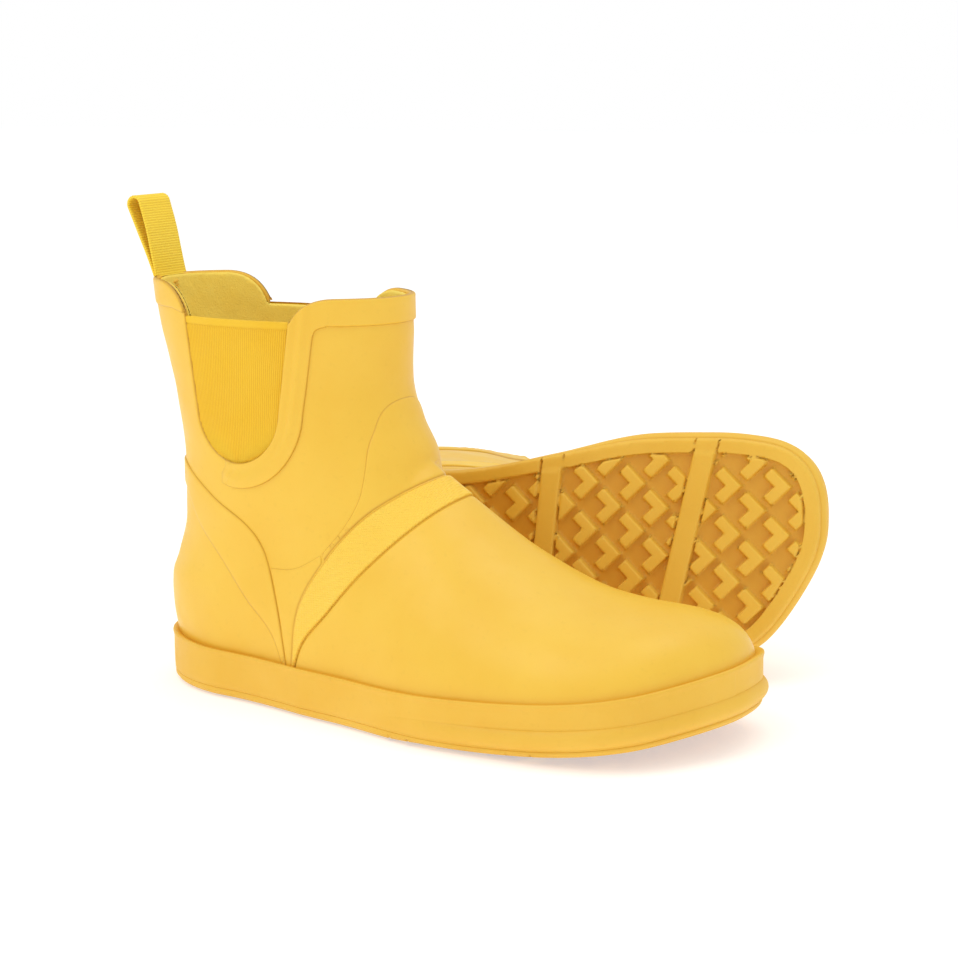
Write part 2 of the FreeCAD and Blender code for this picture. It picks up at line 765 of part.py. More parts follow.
def hull_outline(sketch, foot_z, foot_radius, head_z, head_radius):
    """Closed outline round a small circle below and a larger one above."""
    flat = Vector(0, 0, 1)
    slant = math.asin((head_radius - foot_radius) / (head_z - foot_z))
    cos, sin = math.cos(slant), math.sin(slant)
    low = [Vector(s * foot_radius * cos, foot_z - foot_radius * sin, 0) for s in (1, -1)]
    high = [Vector(s * head_radius * cos, head_z - head_radius * sin, 0) for s in (1, -1)]
    sketch.addGeometry(Part.LineSegment(low[0], high[0]))
    sketch.addGeometry(Part.LineSegment(high[1], low[1]))
    sketch.addGeometry(Part.ArcOfCircle(
        Part.Circle(Vector(0, head_z, 0), flat, head_radius), -slant, math.pi + slant))
    sketch.addGeometry(Part.ArcOfCircle(
        Part.Circle(Vector(0, foot_z, 0), flat, foot_radius), math.pi + slant, 2 * math.pi - slant))


def pull_loop():
    """Teardrop loop of webbing, leaning back from the top of the collar."""
    body = doc.addObject("PartDesign::Body", "right_pull_loop")
    sketch = body.newObject("Sketcher::SketchObject", "loop_side_view")
    plane = [f for f in body.Origin.OriginFeatures if f.Role == "XZ_Plane"][0]
    sketch.AttachmentSupport = [(plane, "")]
    sketch.MapMode = "FlatFace"
    webbing, head = size("webbing"), size("loop_bulge")
    head_z = size("loop_height") - head
    hull_outline(sketch, 0, webbing, head_z, head)
    inner_head = head - webbing
    inner_foot = 0.3
    hull_outline(sketch, head_z * inner_foot / (head - webbing) + inner_foot, inner_foot,
                 head_z, inner_head)
    pad = body.newObject("PartDesign::Pad", "loop_width_pad")
    pad.Profile = sketch
    pad.Midplane = True
    pad.setExpression("Length", "Sizes.loop_width")
    body.Tip = pad
    turn = FreeCAD.Rotation(Vector(0, 1, 0), -size("loop_lean"))
    body.Placement = FreeCAD.Placement(Vector(HINGE_X, 0, HINGE_Z), turn)
    return body


STITCH_COLUMNS = (-7, 7)
STITCH_ROWS = 5
STITCH_PITCH = 2.2
STITCH_DROP = 4      # first row under the top of the collar
STITCH_STAND = 2.5   # thread middle off the lining, in thread radii


def loop_stitches(inside_of_lining):
    """Bar tacks that hold the webbing end, on the inner face of the lining."""
    threads = []
    for column in STITCH_COLUMNS:
        for row in range(STITCH_ROWS):
            z = size("collar_back") - STITCH_DROP - STITCH_PITCH * row
            ray = Part.makeLine(Vector(-30, column, z), Vector(50, column, z))
            face_x = ray.common(inside_of_lining).BoundBox.XMin
            thread = doc.addObject("Part::Cylinder", "stitch")
            thread.setExpression("Radius", "Sizes.stitch_radius")
            thread.setExpression("Height", "Sizes.stitch_length")
            thread.Placement = FreeCAD.Placement(
                Vector(face_x + STITCH_STAND * size("stitch_radius"),
                       column - size("stitch_length") / 2, z),
                FreeCAD.Rotation(Vector(1, 0, 0), -90))
            threads.append(thread)
    rows = doc.addObject("Part::Compound", "right_loop_stitches")
    rows.Links = threads
    return rows


# ---------------------------------------------------------------- the two boots

def right_boot():
    """Every piece of the standing boot."""
    face = upper_solid(0)
    overlay_base = upper_solid(GAP)
    outsole()
    foxing_strip(overlay_base)
    toe_bumper()
    right_piece("filler_sheet", face.common(band(size("outsole_height") + JOINT, FILLER_TOP)))
    upper_pieces(face, overlay_base)
    inside_of_lining = inner_pieces()
    pull_loop()
    loop_stitches(inside_of_lining)
    doc.recompute()


RIGHT_NODES = ["outsole", "foxing_strip", "toe_bumper", "filler_sheet", "upper_shell",
               "insole_board", "heel_counter", "lining_sock", "footbed", "toe_vamp",
               "instep_strap", "saddle_panel", "waist_panel", "heel_strap", "collar_band",
               "rear_collar_band", "gore_lateral", "gore_medial", "pull_loop",
               "loop_anchor", "loop_stitches"]


def lying_placement():
    """Turns a mirrored boot onto its lateral side, sole to the front, behind the right boot."""
    yaw = FreeCAD.Rotation(Vector(0, 0, 1), size("lying_yaw"))
    pitch = FreeCAD.Rotation(Vector(0, 1, 0), -size("lying_pitch"))
    roll = FreeCAD.Rotation(Vector(1, 0, 0), size("lying_roll") - 90)
    spot_on_floor = Vector(size("lying_x"), size("lying_y"), size("lying_z"))
    return FreeCAD.Placement(spot_on_floor, yaw * pitch * roll)


def left_piece(name):
    """Mirror image of a right-boot piece, carried to the lying boot."""
    mirrored = doc.getObject("right_" + name).Shape.mirror(Vector(0, 0, 0), Vector(0, 1, 0))
    made = feature("left_" + name, mirrored)
    made.Placement = lying_placement().multiply(mirrored.Placement)
    return made


def moved_to_origin(node):
    """The same node with the origin inside the back edge of the heel."""
    back = FreeCAD.Placement(Vector(-size("origin_inside"), 0, 0), FreeCAD.Rotation())
    node.Placement = back.multiply(node.Placement)


right_boot()
for node_name in RIGHT_NODES:
    left_piece(node_name)
for side_name in ("right_", "left_"):
    for node_name in RIGHT_NODES:
        moved_to_origin(doc.getObject(side_name + node_name))
doc.recompute()

for item in doc.Objects:
    if "Invalid" in item.State or "Error" in item.State:
        raise RuntimeError("%s did not compute: %s" % (item.Name, item.State))
for side_name in ("right_", "left_"):
    for node_name in RIGHT_NODES:
        node = doc.getObject(side_name + node_name)
        node.Label = side_name + node_name
        if node.Shape.isNull() or not node.Shape.isValid() or not node.Shape.Solids:
            raise RuntimeError("%s has no sound solid" % node.Label)
        node.Shape.exportStep("parts/%s.step" % node.Label)
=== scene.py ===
"""Looks of the pair of deck boots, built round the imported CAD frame.

Shapes are worked out in the millimetres of the design for one standing boot, then scaled to
the frame; the lying boot is the mirror image, carried over by the placement that the frame's
own nodes show.
"""
import math

import bmesh
import bpy
import numpy as np
from mathutils import Matrix, Vector


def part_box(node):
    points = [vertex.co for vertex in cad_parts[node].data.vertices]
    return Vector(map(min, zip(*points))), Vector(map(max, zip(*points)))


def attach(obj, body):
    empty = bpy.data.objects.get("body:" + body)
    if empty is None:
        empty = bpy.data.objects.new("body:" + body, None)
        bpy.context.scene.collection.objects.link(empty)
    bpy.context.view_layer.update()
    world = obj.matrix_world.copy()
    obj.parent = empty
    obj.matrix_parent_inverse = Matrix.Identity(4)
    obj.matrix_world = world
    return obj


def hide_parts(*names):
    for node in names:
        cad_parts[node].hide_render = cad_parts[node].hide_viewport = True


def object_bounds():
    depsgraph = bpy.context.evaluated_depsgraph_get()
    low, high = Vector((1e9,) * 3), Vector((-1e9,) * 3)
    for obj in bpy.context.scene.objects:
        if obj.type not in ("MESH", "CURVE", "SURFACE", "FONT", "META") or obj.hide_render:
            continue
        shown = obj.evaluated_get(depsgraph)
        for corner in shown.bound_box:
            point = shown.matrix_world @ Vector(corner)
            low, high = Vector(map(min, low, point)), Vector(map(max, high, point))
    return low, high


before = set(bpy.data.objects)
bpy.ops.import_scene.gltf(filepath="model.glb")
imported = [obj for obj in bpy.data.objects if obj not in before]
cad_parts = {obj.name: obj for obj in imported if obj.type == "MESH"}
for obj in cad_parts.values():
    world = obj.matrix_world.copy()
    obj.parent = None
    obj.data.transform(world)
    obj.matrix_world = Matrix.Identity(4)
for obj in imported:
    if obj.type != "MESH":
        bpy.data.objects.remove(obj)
CAD_BOX = [list(corner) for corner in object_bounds()]

# ---------------------------------------------------------------- frame of reference

SOLE_LENGTH = 262.0                  # design length of the sole, which sets the scale
SOLE_LOW, SOLE_HIGH = (np.array(c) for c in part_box("right_outsole"))
SCALE = (SOLE_HIGH[0] - SOLE_LOW[0]) / SOLE_LENGTH
COLLAR_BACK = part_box("right_upper_shell")[1].z / SCALE
INSTEP = COLLAR_BACK / 1.70
PAIRED = ["outsole", "foxing_strip", "toe_bumper", "filler_sheet", "upper_shell", "toe_vamp",
          "insole_board", "lining_sock", "footbed", "heel_strap", "saddle_panel",
          "collar_band", "rear_collar_band", "gore_lateral", "gore_medial", "pull_loop"]


def centroid(node):
    """Middle of a CAD node's surface."""
    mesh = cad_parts[node].data
    mesh.calc_loop_triangles()
    points = np.empty(len(mesh.vertices) * 3)
    mesh.vertices.foreach_get("co", points)
    index = np.empty(len(mesh.loop_triangles) * 3, int)
    mesh.loop_triangles.foreach_get("vertices", index)
    a, b, c = (points.reshape(-1, 3)[index.reshape(-1, 3)[:, k]] for k in range(3))
    area = np.linalg.norm(np.cross(b - a, c - a), axis=1)
    return ((a + b + c) / 3 * area[:, None]).sum(0) / area.sum()


def lying_placement():
    """Rotation and shift that carry the mirrored standing boot onto the lying one."""
    mirrored = np.array([centroid("right_" + n) for n in PAIRED]) * (1, -1, 1)
    lying = np.array([centroid("left_" + n) for n in PAIRED])
    from_middle, to_middle = mirrored.mean(0), lying.mean(0)
    u, _, v = np.linalg.svd((mirrored - from_middle).T @ (lying - to_middle))
    turn = np.diag((1, 1, np.sign(np.linalg.det(v.T @ u.T))))
    rotation = v.T @ turn @ u.T
    return rotation, to_middle - rotation @ from_middle


LYING_TURN, LYING_SHIFT = lying_placement()

# ---------------------------------------------------------------- form of the boot

INSET = 2.6                          # upper inside the edge of the sole
SHAFT_FRONT = 114.0
BLEND, BLEND_CLIMB = 10.0, 25.0       # soft valley between shaft and foot
LAST_FLOOR = 15.0
HEEL_ROUND, TOE_ROUND, TOE_DROP = 45.0, 47.0, 40.0
HEEL_POWER, TOE_POWER, DROP_POWER = 1.85, 2.49, 2.6
SPRING_START, TOE_SPRING = 162.0, 11.0
TILT = 0.5                           # section planes climb this much towards the toe


def through(points):
    """Smooth function through (position, value) points without overshoot, level outside them."""
    xs, ys = np.array(points, float).T
    rises = np.diff(ys) / np.diff(xs)
    slopes = [rises[0]]
    for before, after in zip(rises, rises[1:]):
        slopes.append(2 * before * after / (before + after) if before * after > 0 else 0.0)
    slopes = np.array(slopes + [rises[-1]])

    def value(x):
        x = np.clip(x, xs[0], xs[-1])
        i = np.clip(np.searchsorted(xs, x, side="right") - 1, 0, len(xs) - 2)
        step = xs[i + 1] - xs[i]
        f = (x - xs[i]) / step
        g = 1 - f
        return (ys[i] * g * g * (1 + 2 * f) + ys[i + 1] * f * f * (1 + 2 * g)
                + step * f * g * (slopes[i] * g - slopes[i + 1] * f))
    return value


def along(shares):
    """Function through (share of the sole length, millimetres) points."""
    return through([(share * SOLE_LENGTH, value) for share, value in shares])


lateral_half = along([(0, 33), (0.17, 34), (0.40, 44.5), (0.61, 57), (0.76, 58),
                      (0.90, 52.2), (1, 32)])
medial_half = along([(0, 33), (0.17, 33), (0.40, 28), (0.57, 33), (0.73, 38), (0.88, 37),
                     (1, 41)])
ridge = along([(0.34, 0), (0.57, 3.74), (0.76, 7.37), (1, 11)])
foxing_top = along([(0, 20.5), (0.23, 19.4), (0.46, 19.4), (0.69, 20.9), (1, 22.2)])
top_line = through([(60, INSTEP + 22), (108, INSTEP + 20), (125, INSTEP), (145, INSTEP - 15),
                    (170, INSTEP - 32.5), (200, 52), (225, 46), (SOLE_LENGTH, 42)])
back_line = through([(20, INSET), (36, INSET - 1), (45, INSET - 0.6), (54, INSET + 3),
                     (72, INSET + 8), (95, INSET + 8.7), (122, INSET + 5.7), (158, INSET - 4.2),
                     (180, INSET - 6.8)])
front_line = through([(0, SHAFT_FRONT - 4), (60, SHAFT_FRONT + 14), (INSTEP, SHAFT_FRONT + 11),
                      (INSTEP + 15, SHAFT_FRONT + 4), (INSTEP + 32, SHAFT_FRONT),
                      (INSTEP + 50, SHAFT_FRONT + 1)])
shaft_half = through([(12, 28), (30, 31), (60, 32), (85, 34.5), (113, 34.5), (158, 32.7)])


def spring(x):
    """How far the sole has risen off the floor at x."""
    return TOE_SPRING * np.clip((x - SPRING_START) / (SOLE_LENGTH - SPRING_START), 0, None) ** 2


def plan_half(x, side, inset=0.0):
    """Half width of the sole plan beside the ridge, side -1 lateral and +1 medial."""
    heel = np.clip(1 - (x - inset) / HEEL_ROUND, 0, 1)
    toe = np.clip(1 - (SOLE_LENGTH - inset - x) / TOE_ROUND, 0, 1)
    full = np.where(side < 0, lateral_half(x), medial_half(x)) - inset
    return (full * (1 - heel ** HEEL_POWER) ** (1 / HEEL_POWER)
            * (1 - toe ** TOE_POWER) ** (1 / TOE_POWER))


def foot_half(x, z, side):
    """Half width of the foot part of the upper, z measured from the sprung floor."""
    back, front = back_line(z), SOLE_LENGTH - INSET
    share = INSET + (front - INSET) * (x - back) / (front - back)
    drop = np.clip(1 - (front - x) / TOE_DROP, 0, 1)
    roof = (top_line(x) - LAST_FLOOR) * (1 - drop ** DROP_POWER) ** (1 / DROP_POWER)
    climb = np.clip((z - LAST_FLOOR) / np.maximum(roof, 0.001), 0, 1)
    square = np.clip((x - 120) / 90, 0, 1)
    closing = (1 - climb ** (1.75 + 0.75 * square)) ** (1 / (1.65 + 0.45 * square))
    inside = (x > back) & (x < front)
    return np.where(inside, plan_half(np.clip(share, INSET, front), side, INSET) * closing, 0.0)


def shaft_part_half(x, z):
    """Half width of the shaft part of the upper."""
    back, front = back_line(z), front_line(z)
    off = np.clip(np.abs(x - (front + back) / 2) / ((front - back) / 2), 0, 1)
    return shaft_half(z) * (1 - off ** 2.3) ** (1 / 2.1)


def upper_half(x, height, side):
    """Half width of the upper at a true height, foot and shaft blended softly."""
    z = height - spring(x)
    foot, shaft = foot_half(x, z, side), shaft_part_half(x, z)
    near = np.clip(BLEND - np.abs(foot - shaft), 0, None) / BLEND
    valley = near * near * BLEND / 4 * np.clip(np.minimum(foot, shaft) / BLEND, 0, 1)
    climbed = np.clip((z - LAST_FLOOR) / BLEND_CLIMB, 0, 1)
    return np.maximum(foot, shaft) + valley * climbed


def section_table():
    """Back and front ends of the upper on many tilted planes z = rise + TILT * x."""
    rises = np.arange(-132.0, 200.0, 0.5)
    heart = np.full_like(rises, 50.0)

    def inside(x):
        return upper_half(x, rises + TILT * x, -1) > 0

    def border(within, outside):
        for _ in range(30):
            middle = (within + outside) / 2
            hit = inside(middle)
            within, outside = np.where(hit, middle, within), np.where(hit, outside, middle)
        return within
    front = heart.copy()
    open_ahead = np.ones(len(rises), bool)
    while open_ahead.any():
        open_ahead &= inside(front)
        front = np.where(open_ahead, front + 2, front)
    return rises, border(heart, heart - 90), border(front - 2, front)


RISES, BACK_ENDS, FRONT_ENDS = section_table()
END_CLOSING = 0.01                   # both sides meet this close to the ends of a section


def face_point(rise, angle):
    """Point on the face of the upper; the angle runs from the heel over the lateral side."""
    back, front = np.interp(rise, RISES, BACK_ENDS), np.interp(rise, RISES, FRONT_ENDS)
    x = (back + front) / 2 - (front - back) / 2 * np.cos(angle)
    side = np.where(np.sin(angle) >= 0, -1.0, 1.0)
    half = upper_half(x, rise + TILT * x, side)
    half = half * np.clip(np.abs(np.sin(angle)) / END_CLOSING, 0, 1)
    return np.stack([x, ridge(x) + side * half, rise + TILT * x], 1)


def lifted(params, height):
    """Points at a height off the face of the upper, square to it."""
    rise, angle = params.T
    da, dr = 0.006, 0.4
    around = face_point(rise, angle + da) - face_point(rise, angle - da)
    upwards = face_point(rise + dr, angle) - face_point(rise - dr, angle)
    normal = np.cross(around, upwards)
    normal /= np.maximum(np.linalg.norm(normal, axis=1), 1e-9)[:, None]
    return face_point(rise, angle) + normal * np.asarray(height)[:, None]


# ---------------------------------------------------------------- sheets cut from the upper

def skin_grid(rise_step=2.2, turns=300):
    """Rise and angle of every point of a net over the whole upper, and its triangles."""
    rises = np.arange(-121.0, 176.0, rise_step)
    angles = np.linspace(0, 2 * math.pi, turns + 1)
    params = np.stack(np.meshgrid(rises, angles, indexing="ij"), -1).reshape(-1, 2)
    corner = (np.arange(len(rises) - 1)[:, None] * (turns + 1) + np.arange(turns)).ravel()
    above = corner + turns + 1
    tris = np.concatenate([np.stack([corner, corner + 1, above + 1], 1),
                           np.stack([corner, above + 1, above], 1)])
    return params, tris


def split(sheet, field, level):
    """Adds points where a field crosses a level, so that the level becomes a line of edges."""
    params, tris = sheet
    value = field(params) - level
    value[np.abs(value) < 1e-4] = 1e-4
    positive = value > 0
    count = positive[tris].sum(1)
    mixed = (count == 1) | (count == 2)
    cut, whole = tris[mixed], tris[~mixed]
    lone = (positive[cut] == (count[mixed] == 1)[:, None]).argmax(1)
    row = np.arange(len(cut))
    a, b, c = cut[row, lone], cut[row, (lone + 1) % 3], cut[row, (lone + 2) % 3]
    pairs = np.sort(np.concatenate([np.stack([a, b], 1), np.stack([a, c], 1)]), 1)
    edges, index = np.unique(pairs, axis=0, return_inverse=True)
    index = index.ravel() + len(params)
    share = value[edges[:, 0]] / (value[edges[:, 0]] - value[edges[:, 1]])
    fresh = params[edges[:, 0]] * (1 - share[:, None]) + params[edges[:, 1]] * share[:, None]
    ab, ac = index[:len(cut)], index[len(cut):]
    pieces = [whole, np.stack([a, ab, ac], 1), np.stack([ab, b, c], 1), np.stack([ab, c, ac], 1)]
    return np.concatenate([params, fresh]), np.concatenate(pieces)


def kept(sheet, field, level=0.0):
    """The triangles whose middles lie above a level of the field, and their points."""
    params, tris = sheet
    tris = tris[field(params[tris].mean(1)) > level]
    used, index = np.unique(tris, return_inverse=True)
    return params[used], index.reshape(-1, 3)


def side_view(params):
    """Where points of the upper are in the side view: x and height."""
    place = face_point(params[:, 0], params[:, 1])
    return place[:, 0], place[:, 2]


def above_foxing(params):
    """Height over a hidden line just under the top of the foxing."""
    x, z = side_view(params)
    return z - spring(x) - foxing_top(x) + 4


BACK_FLAT, GORE_BACK, GORE_FRONT, FRONT_RISE = 11.0, 29.5, 82.0, 17.0
COLLAR_SIDE, COLLAR_FRONT = COLLAR_BACK - 13, COLLAR_BACK - 4
LEVEL_SHARE, STEEP_SHARE, FALL_SHARE = 0.6, 0.12, 0.45


def scallop(high_x, high, low_x):
    """Curve that leaves a high part of the collar level and drops ever steeper to the gore."""
    run, fall = low_x - high_x, high - COLLAR_SIDE
    poles = np.array([(high_x, high), (high_x + LEVEL_SHARE * run, high),
                      (low_x - STEEP_SHARE * run, COLLAR_SIDE + FALL_SHARE * fall),
                      (low_x, COLLAR_SIDE)])
    t = np.linspace(0, 1, 25)[:, None]
    weights = np.hstack([(1 - t) ** 3, 3 * t * (1 - t) ** 2, 3 * t * t * (1 - t), t ** 3])
    return weights @ poles


def collar_line():
    """Side view of the scalloped collar as positions and heights."""
    back = scallop(BACK_FLAT, COLLAR_BACK, GORE_BACK)
    front = scallop(GORE_FRONT + FRONT_RISE, COLLAR_FRONT, GORE_FRONT)[::-1]
    return np.vstack([[(-60.0, COLLAR_BACK)], back, front, [(300.0, COLLAR_FRONT)]]).T


COLLAR_X, COLLAR_Z = collar_line()


def to_polyline(x, z, line):
    """Distance from points to a polyline in the side view."""
    best = np.full(len(x), 1e9)
    for (ax, az), (bx, bz) in zip(line[:-1], line[1:]):
        dx, dz = bx - ax, bz - az
        share = np.clip(((x - ax) * dx + (z - az) * dz) / (dx * dx + dz * dz + 1e-12), 0, 1)
        best = np.minimum(best, np.hypot(x - ax - share * dx, z - az - share * dz))
    return best


def within(x, z, polygon):
    """Whether side-view points are inside a closed polygon."""
    inside = np.zeros(len(x), bool)
    for (ax, az), (bx, bz) in zip(polygon, np.roll(polygon, -1, 0)):
        crosses = (az > z) != (bz > z)
        at = ax + (z - az) * (bx - ax) / (bz - az if bz != az else 1e-12)
        inside ^= crosses & (x < at)
    return inside


def below_collar(params):
    """Signed distance under the collar line."""
    x, z = side_view(params)
    sign = np.where(z < np.interp(x, COLLAR_X, COLLAR_Z), 1, -1)
    return sign * to_polyline(x, z, np.stack([COLLAR_X, COLLAR_Z], 1))


GORE_X, GORE_Z, GORE_RADIUS = 56.0, 120.5, 21.5
BACK_FLARE, FRONT_FLARE = 0.15, 0.10


def outside_gore(params):
    """Signed distance outside the U of the elastic gore."""
    x, z = side_view(params)
    dx, dz = x - GORE_X, z - GORE_Z
    flare = np.where(dx > 0, FRONT_FLARE, BACK_FLARE)
    straight = (np.abs(dx) - GORE_RADIUS - flare * dz) / np.sqrt(1 + flare * flare)
    return np.where(dz > 0, straight, np.hypot(dx, dz) - GORE_RADIUS)


def smooth_line(points, steps=10):
    """Polyline that bends smoothly through points."""
    p = np.array(points, float)
    p = np.concatenate([[2 * p[0] - p[1]], p, [2 * p[-1] - p[-2]]])
    t = np.linspace(0, 1, steps, endpoint=False)[:, None]
    out = []
    for a, b, c, d in zip(p, p[1:], p[2:], p[3:]):
        out.append(0.5 * (2 * b + (c - a) * t + (2 * a - 5 * b + 4 * c - d) * t * t
                          + (3 * b - a - 3 * c + d) * t ** 3))
    return np.concatenate(out + [p[-2:-1]])


def seam(shares):
    """Smooth seam through (share of sole length, share of instep height) points."""
    return smooth_line([(a * SOLE_LENGTH, b * INSTEP) for a, b in shares])


HEEL_TOP = seam([(-0.04, 0.97), (0.046, 0.96), (0.087, 0.94), (0.174, 0.82), (0.229, 0.74),
                 (0.26, 0.645), (0.28, 0.50), (0.294, 0.36), (0.309, 0.15)])
HEEL_FOOT = seam([(-0.04, 0.86), (0.046, 0.85), (0.083, 0.82), (0.119, 0.70), (0.174, 0.57),
                  (0.222, 0.43), (0.273, 0.30), (0.300, 0.15)])
SADDLE_EDGE = seam([(0.50, 1.32), (0.438, 1.25), (0.425, 1.12), (0.425, 0.99), (0.421, 0.87),
                    (0.402, 0.765), (0.368, 0.655)])
WAIST_EDGE = seam([(0.368, 0.655), (0.323, 0.59), (0.28, 0.575), (0.21, 0.575)])
STRAP_TOP = seam([(0.318, 0.15), (0.330, 0.42), (0.374, 0.625), (0.429, 0.795), (0.478, 0.90),
                  (0.54, 1.00), (0.60, 1.10)])
STRAP_FOOT = seam([(0.318, 0.12), (0.342, 0.29), (0.389, 0.43), (0.448, 0.61), (0.503, 0.76),
                   (0.545, 0.87), (0.61, 1.02)])
ARC_END = math.radians(248)
FRAME_FADE = math.radians(30)          # the frame thins out over this much of its arc
FRAME_WIDTH = 10.5
BAND_HEIGHT = 11.0


def gore_arc(reach, start, end, steps=24):
    """Points round the middle of the gore."""
    angle = np.linspace(start, end, steps)
    return np.stack([GORE_X + reach * np.cos(angle), GORE_Z + reach * np.sin(angle)], 1)


def flared(reach, height):
    """Front edge of the gore's U, widened to a reach, at a height."""
    return GORE_X + reach + FRONT_FLARE * (height - GORE_Z), height


def collar_band_edges():
    """Boundary of the front collar band and gore frame: lines and their edge widths."""
    outer = GORE_RADIUS + FRAME_WIDTH
    base = COLLAR_FRONT - BAND_HEIGHT
    shoulder = flared(outer, base - 6)[0]
    rise = np.concatenate([gore_arc(outer, ARC_END, 2 * math.pi), [(shoulder, base - 6)]])
    bend = smooth_line([(shoulder, base - 6), (shoulder + 1.2, base - 1.6),
                        (shoulder + 6, base), (shoulder + 14, base), (190, base)])
    collar = np.stack([COLLAR_X, COLLAR_Z], 1)[::-1]
    collar = collar[collar[:, 0] > GORE_FRONT - 4]
    inner = np.concatenate([[flared(GORE_RADIUS, COLLAR_SIDE)],
                            gore_arc(GORE_RADIUS, 2 * math.pi, ARC_END)])
    tail = np.stack([inner[-1], rise[0]])
    return [(rise, 0.9), (bend, 0.9), (collar, 1.0), (inner, 0.9), (tail, 7.0)]


def rear_band_edges():
    """Boundary of the collar band round the back."""
    base = COLLAR_BACK - BAND_HEIGHT
    edge = GORE_X - GORE_RADIUS - BACK_FLARE * (COLLAR_SIDE - GORE_Z)
    collar = np.stack([COLLAR_X, COLLAR_Z], 1)
    collar = collar[(collar[:, 0] < edge) | (collar[:, 0] < 0)]
    low = np.array([(edge + 1, COLLAR_SIDE), (edge - 8, base), (-60, base)])
    return [(collar, 1.0), (low, 1.4)]


def clipped(line, low, high):
    """The part of a polyline between two positions along the boot."""
    return line[(line[:, 0] >= low) & (line[:, 0] <= high)]


def ring_field(edges):
    """Field that is 0 on a closed boundary, 1 where its rounded edge is over, negative outside."""
    polygon = np.concatenate([line for line, _ in edges])

    def field(params):
        x, z = side_view(params)
        z = z - spring(x)
        near = np.full(len(x), 1e9)
        for line, width in edges:
            near = np.minimum(near, to_polyline(x, z, line) / width)
        return np.where(within(x, z, polygon), near, -near)
    return field


def ripple(params, size, seed):
    """Soft unevenness of hand-laid rubber, in units of its own height."""
    rng = np.random.default_rng(seed)
    x, z = side_view(params)
    side = np.sin(params[:, 1])
    total = np.zeros(len(x))
    for _ in range(7):
        kx, kz, ks = rng.normal(0, 2 * math.pi / size, 3)
        total += np.sin(kx * x + kz * z + ks * 6 * side + rng.uniform(0, 6.28))
    return total / 7


SEAM_LEVELS = (0.0, 0.12, 0.35, 0.65, 1.0)


def rounded(q):
    """Quarter round from 0 at a seam to 1 where its edge is over."""
    q = np.clip(q, 0, 1)
    return np.sqrt(1 - (1 - q) ** 2)


EDGE_SINK = 0.5                      # the rim of an overlay goes this far into the sheet below
RIPPLE_HEIGHT, RIPPLE_SIZE = 0.12, 45


def panel(edges, thickness, extra, seed):
    """Overlay with rounded edges: its points, faces, painted shade along its edges and place on
    the upper.
    """
    field = ring_field(edges)
    line = np.concatenate([points for points, _ in edges])
    low, high = line.min(0) - 3, line.max(0) + 3

    def near_box(params):
        x, z = side_view(params)
        z = z - spring(x)
        return np.minimum(np.minimum(x - low[0], high[0] - x), np.minimum(z - low[1], high[1] - z))
    sheet = kept(kept(GRID, near_box), above_foxing)
    for level in SEAM_LEVELS:
        sheet = split(sheet, field, level)
    sheet = kept(sheet, field)
    q = field(sheet[0])
    height = -EDGE_SINK + (thickness + EDGE_SINK) * rounded(q)
    height += RIPPLE_HEIGHT * ripple(sheet[0], RIPPLE_SIZE, seed) * np.clip(q, 0, 1)
    if extra:
        height += extra(sheet[0]) * np.clip(4 * q, 0, 1)
    # the third value is the painted shade along the overlay's edges, fullest at the seam
    return lifted(sheet[0], height), sheet[1], np.clip(q, 0, 1), sheet[0]


GRID = skin_grid()
SHELL_WALL = 1.8
COLLAR_LEVELS, GORE_LEVELS = (0, 0.25, 0.9, 1.8), (0, 0.25, 0.8)


def shell_sheets():
    """Rubber shell: outer face, rounded collar and gore edges, and a short inner face."""
    def on_shell(params):
        return np.minimum(above_foxing(params), outside_gore(params))

    sheet = kept(GRID, above_foxing)
    for field, levels in ((below_collar, COLLAR_LEVELS), (outside_gore, GORE_LEVELS)):
        for level in levels:
            sheet = split(sheet, field, level)
    sheet = kept(kept(sheet, below_collar), on_shell)
    inner = kept(sheet, lambda params: 14 - below_collar(params))
    half = SHELL_WALL / 2
    edge = np.minimum(below_collar(sheet[0]), outside_gore(sheet[0])) / half
    # seam_shade is painted shade along the collar and gore edges, and also fades the ripple there
    seam_shade = np.clip(edge, 0, 1)
    outer = lifted(sheet[0], (-half + half * rounded(edge)
                              + 0.15 * ripple(sheet[0], 50, 3) * seam_shade))
    inner_edge = np.minimum(below_collar(inner[0]), outside_gore(inner[0])) / half
    inside = lifted(inner[0], -half - half * rounded(inner_edge))
    points = np.concatenate([outer, inside])
    faces = np.concatenate([sheet[1], inner[1][:, ::-1] + len(outer)])
    # painted shade near the edges on both faces
    shade = np.concatenate([seam_shade, np.clip(inner_edge, 0, 1)])
    return {"points": points, "faces": faces, "edge": shade}


LINING_LOW = 17.5                    # floor of the lining over the sprung ground
LINING_OUT, LINING_IN = -2.2, -4.2
TUFTS, WAVES = (0.22, 5, 11), (0.25, 22, 12)            # height, size and seed of the pile


def lining_sheets():
    """Brushed textile sock: rounded top edge, inner face to the floor, short outer face."""
    def under_collar(params):
        return below_collar(params) - 0.9

    def over_floor(params):
        x, z = side_view(params)
        return z - spring(x) - LINING_LOW

    sheet = kept(GRID, over_floor)
    for level in (0, 0.3, 1.0):
        sheet = split(sheet, under_collar, level)
    sheet = kept(sheet, under_collar)
    outer = kept(sheet, lambda params: 8 - under_collar(params))
    half = (LINING_OUT - LINING_IN) / 2
    middle = (LINING_OUT + LINING_IN) / 2
    pile = sum(tall * ripple(sheet[0], size, seed) for tall, size, seed in (TUFTS, WAVES))
    inside = lifted(sheet[0], middle - half * rounded(under_collar(sheet[0])) + pile)
    outside = lifted(outer[0], middle + half * rounded(under_collar(outer[0])))
    return {"points": np.concatenate([inside, outside]),
            "faces": np.concatenate([sheet[1][:, ::-1], outer[1] + len(inside)])}


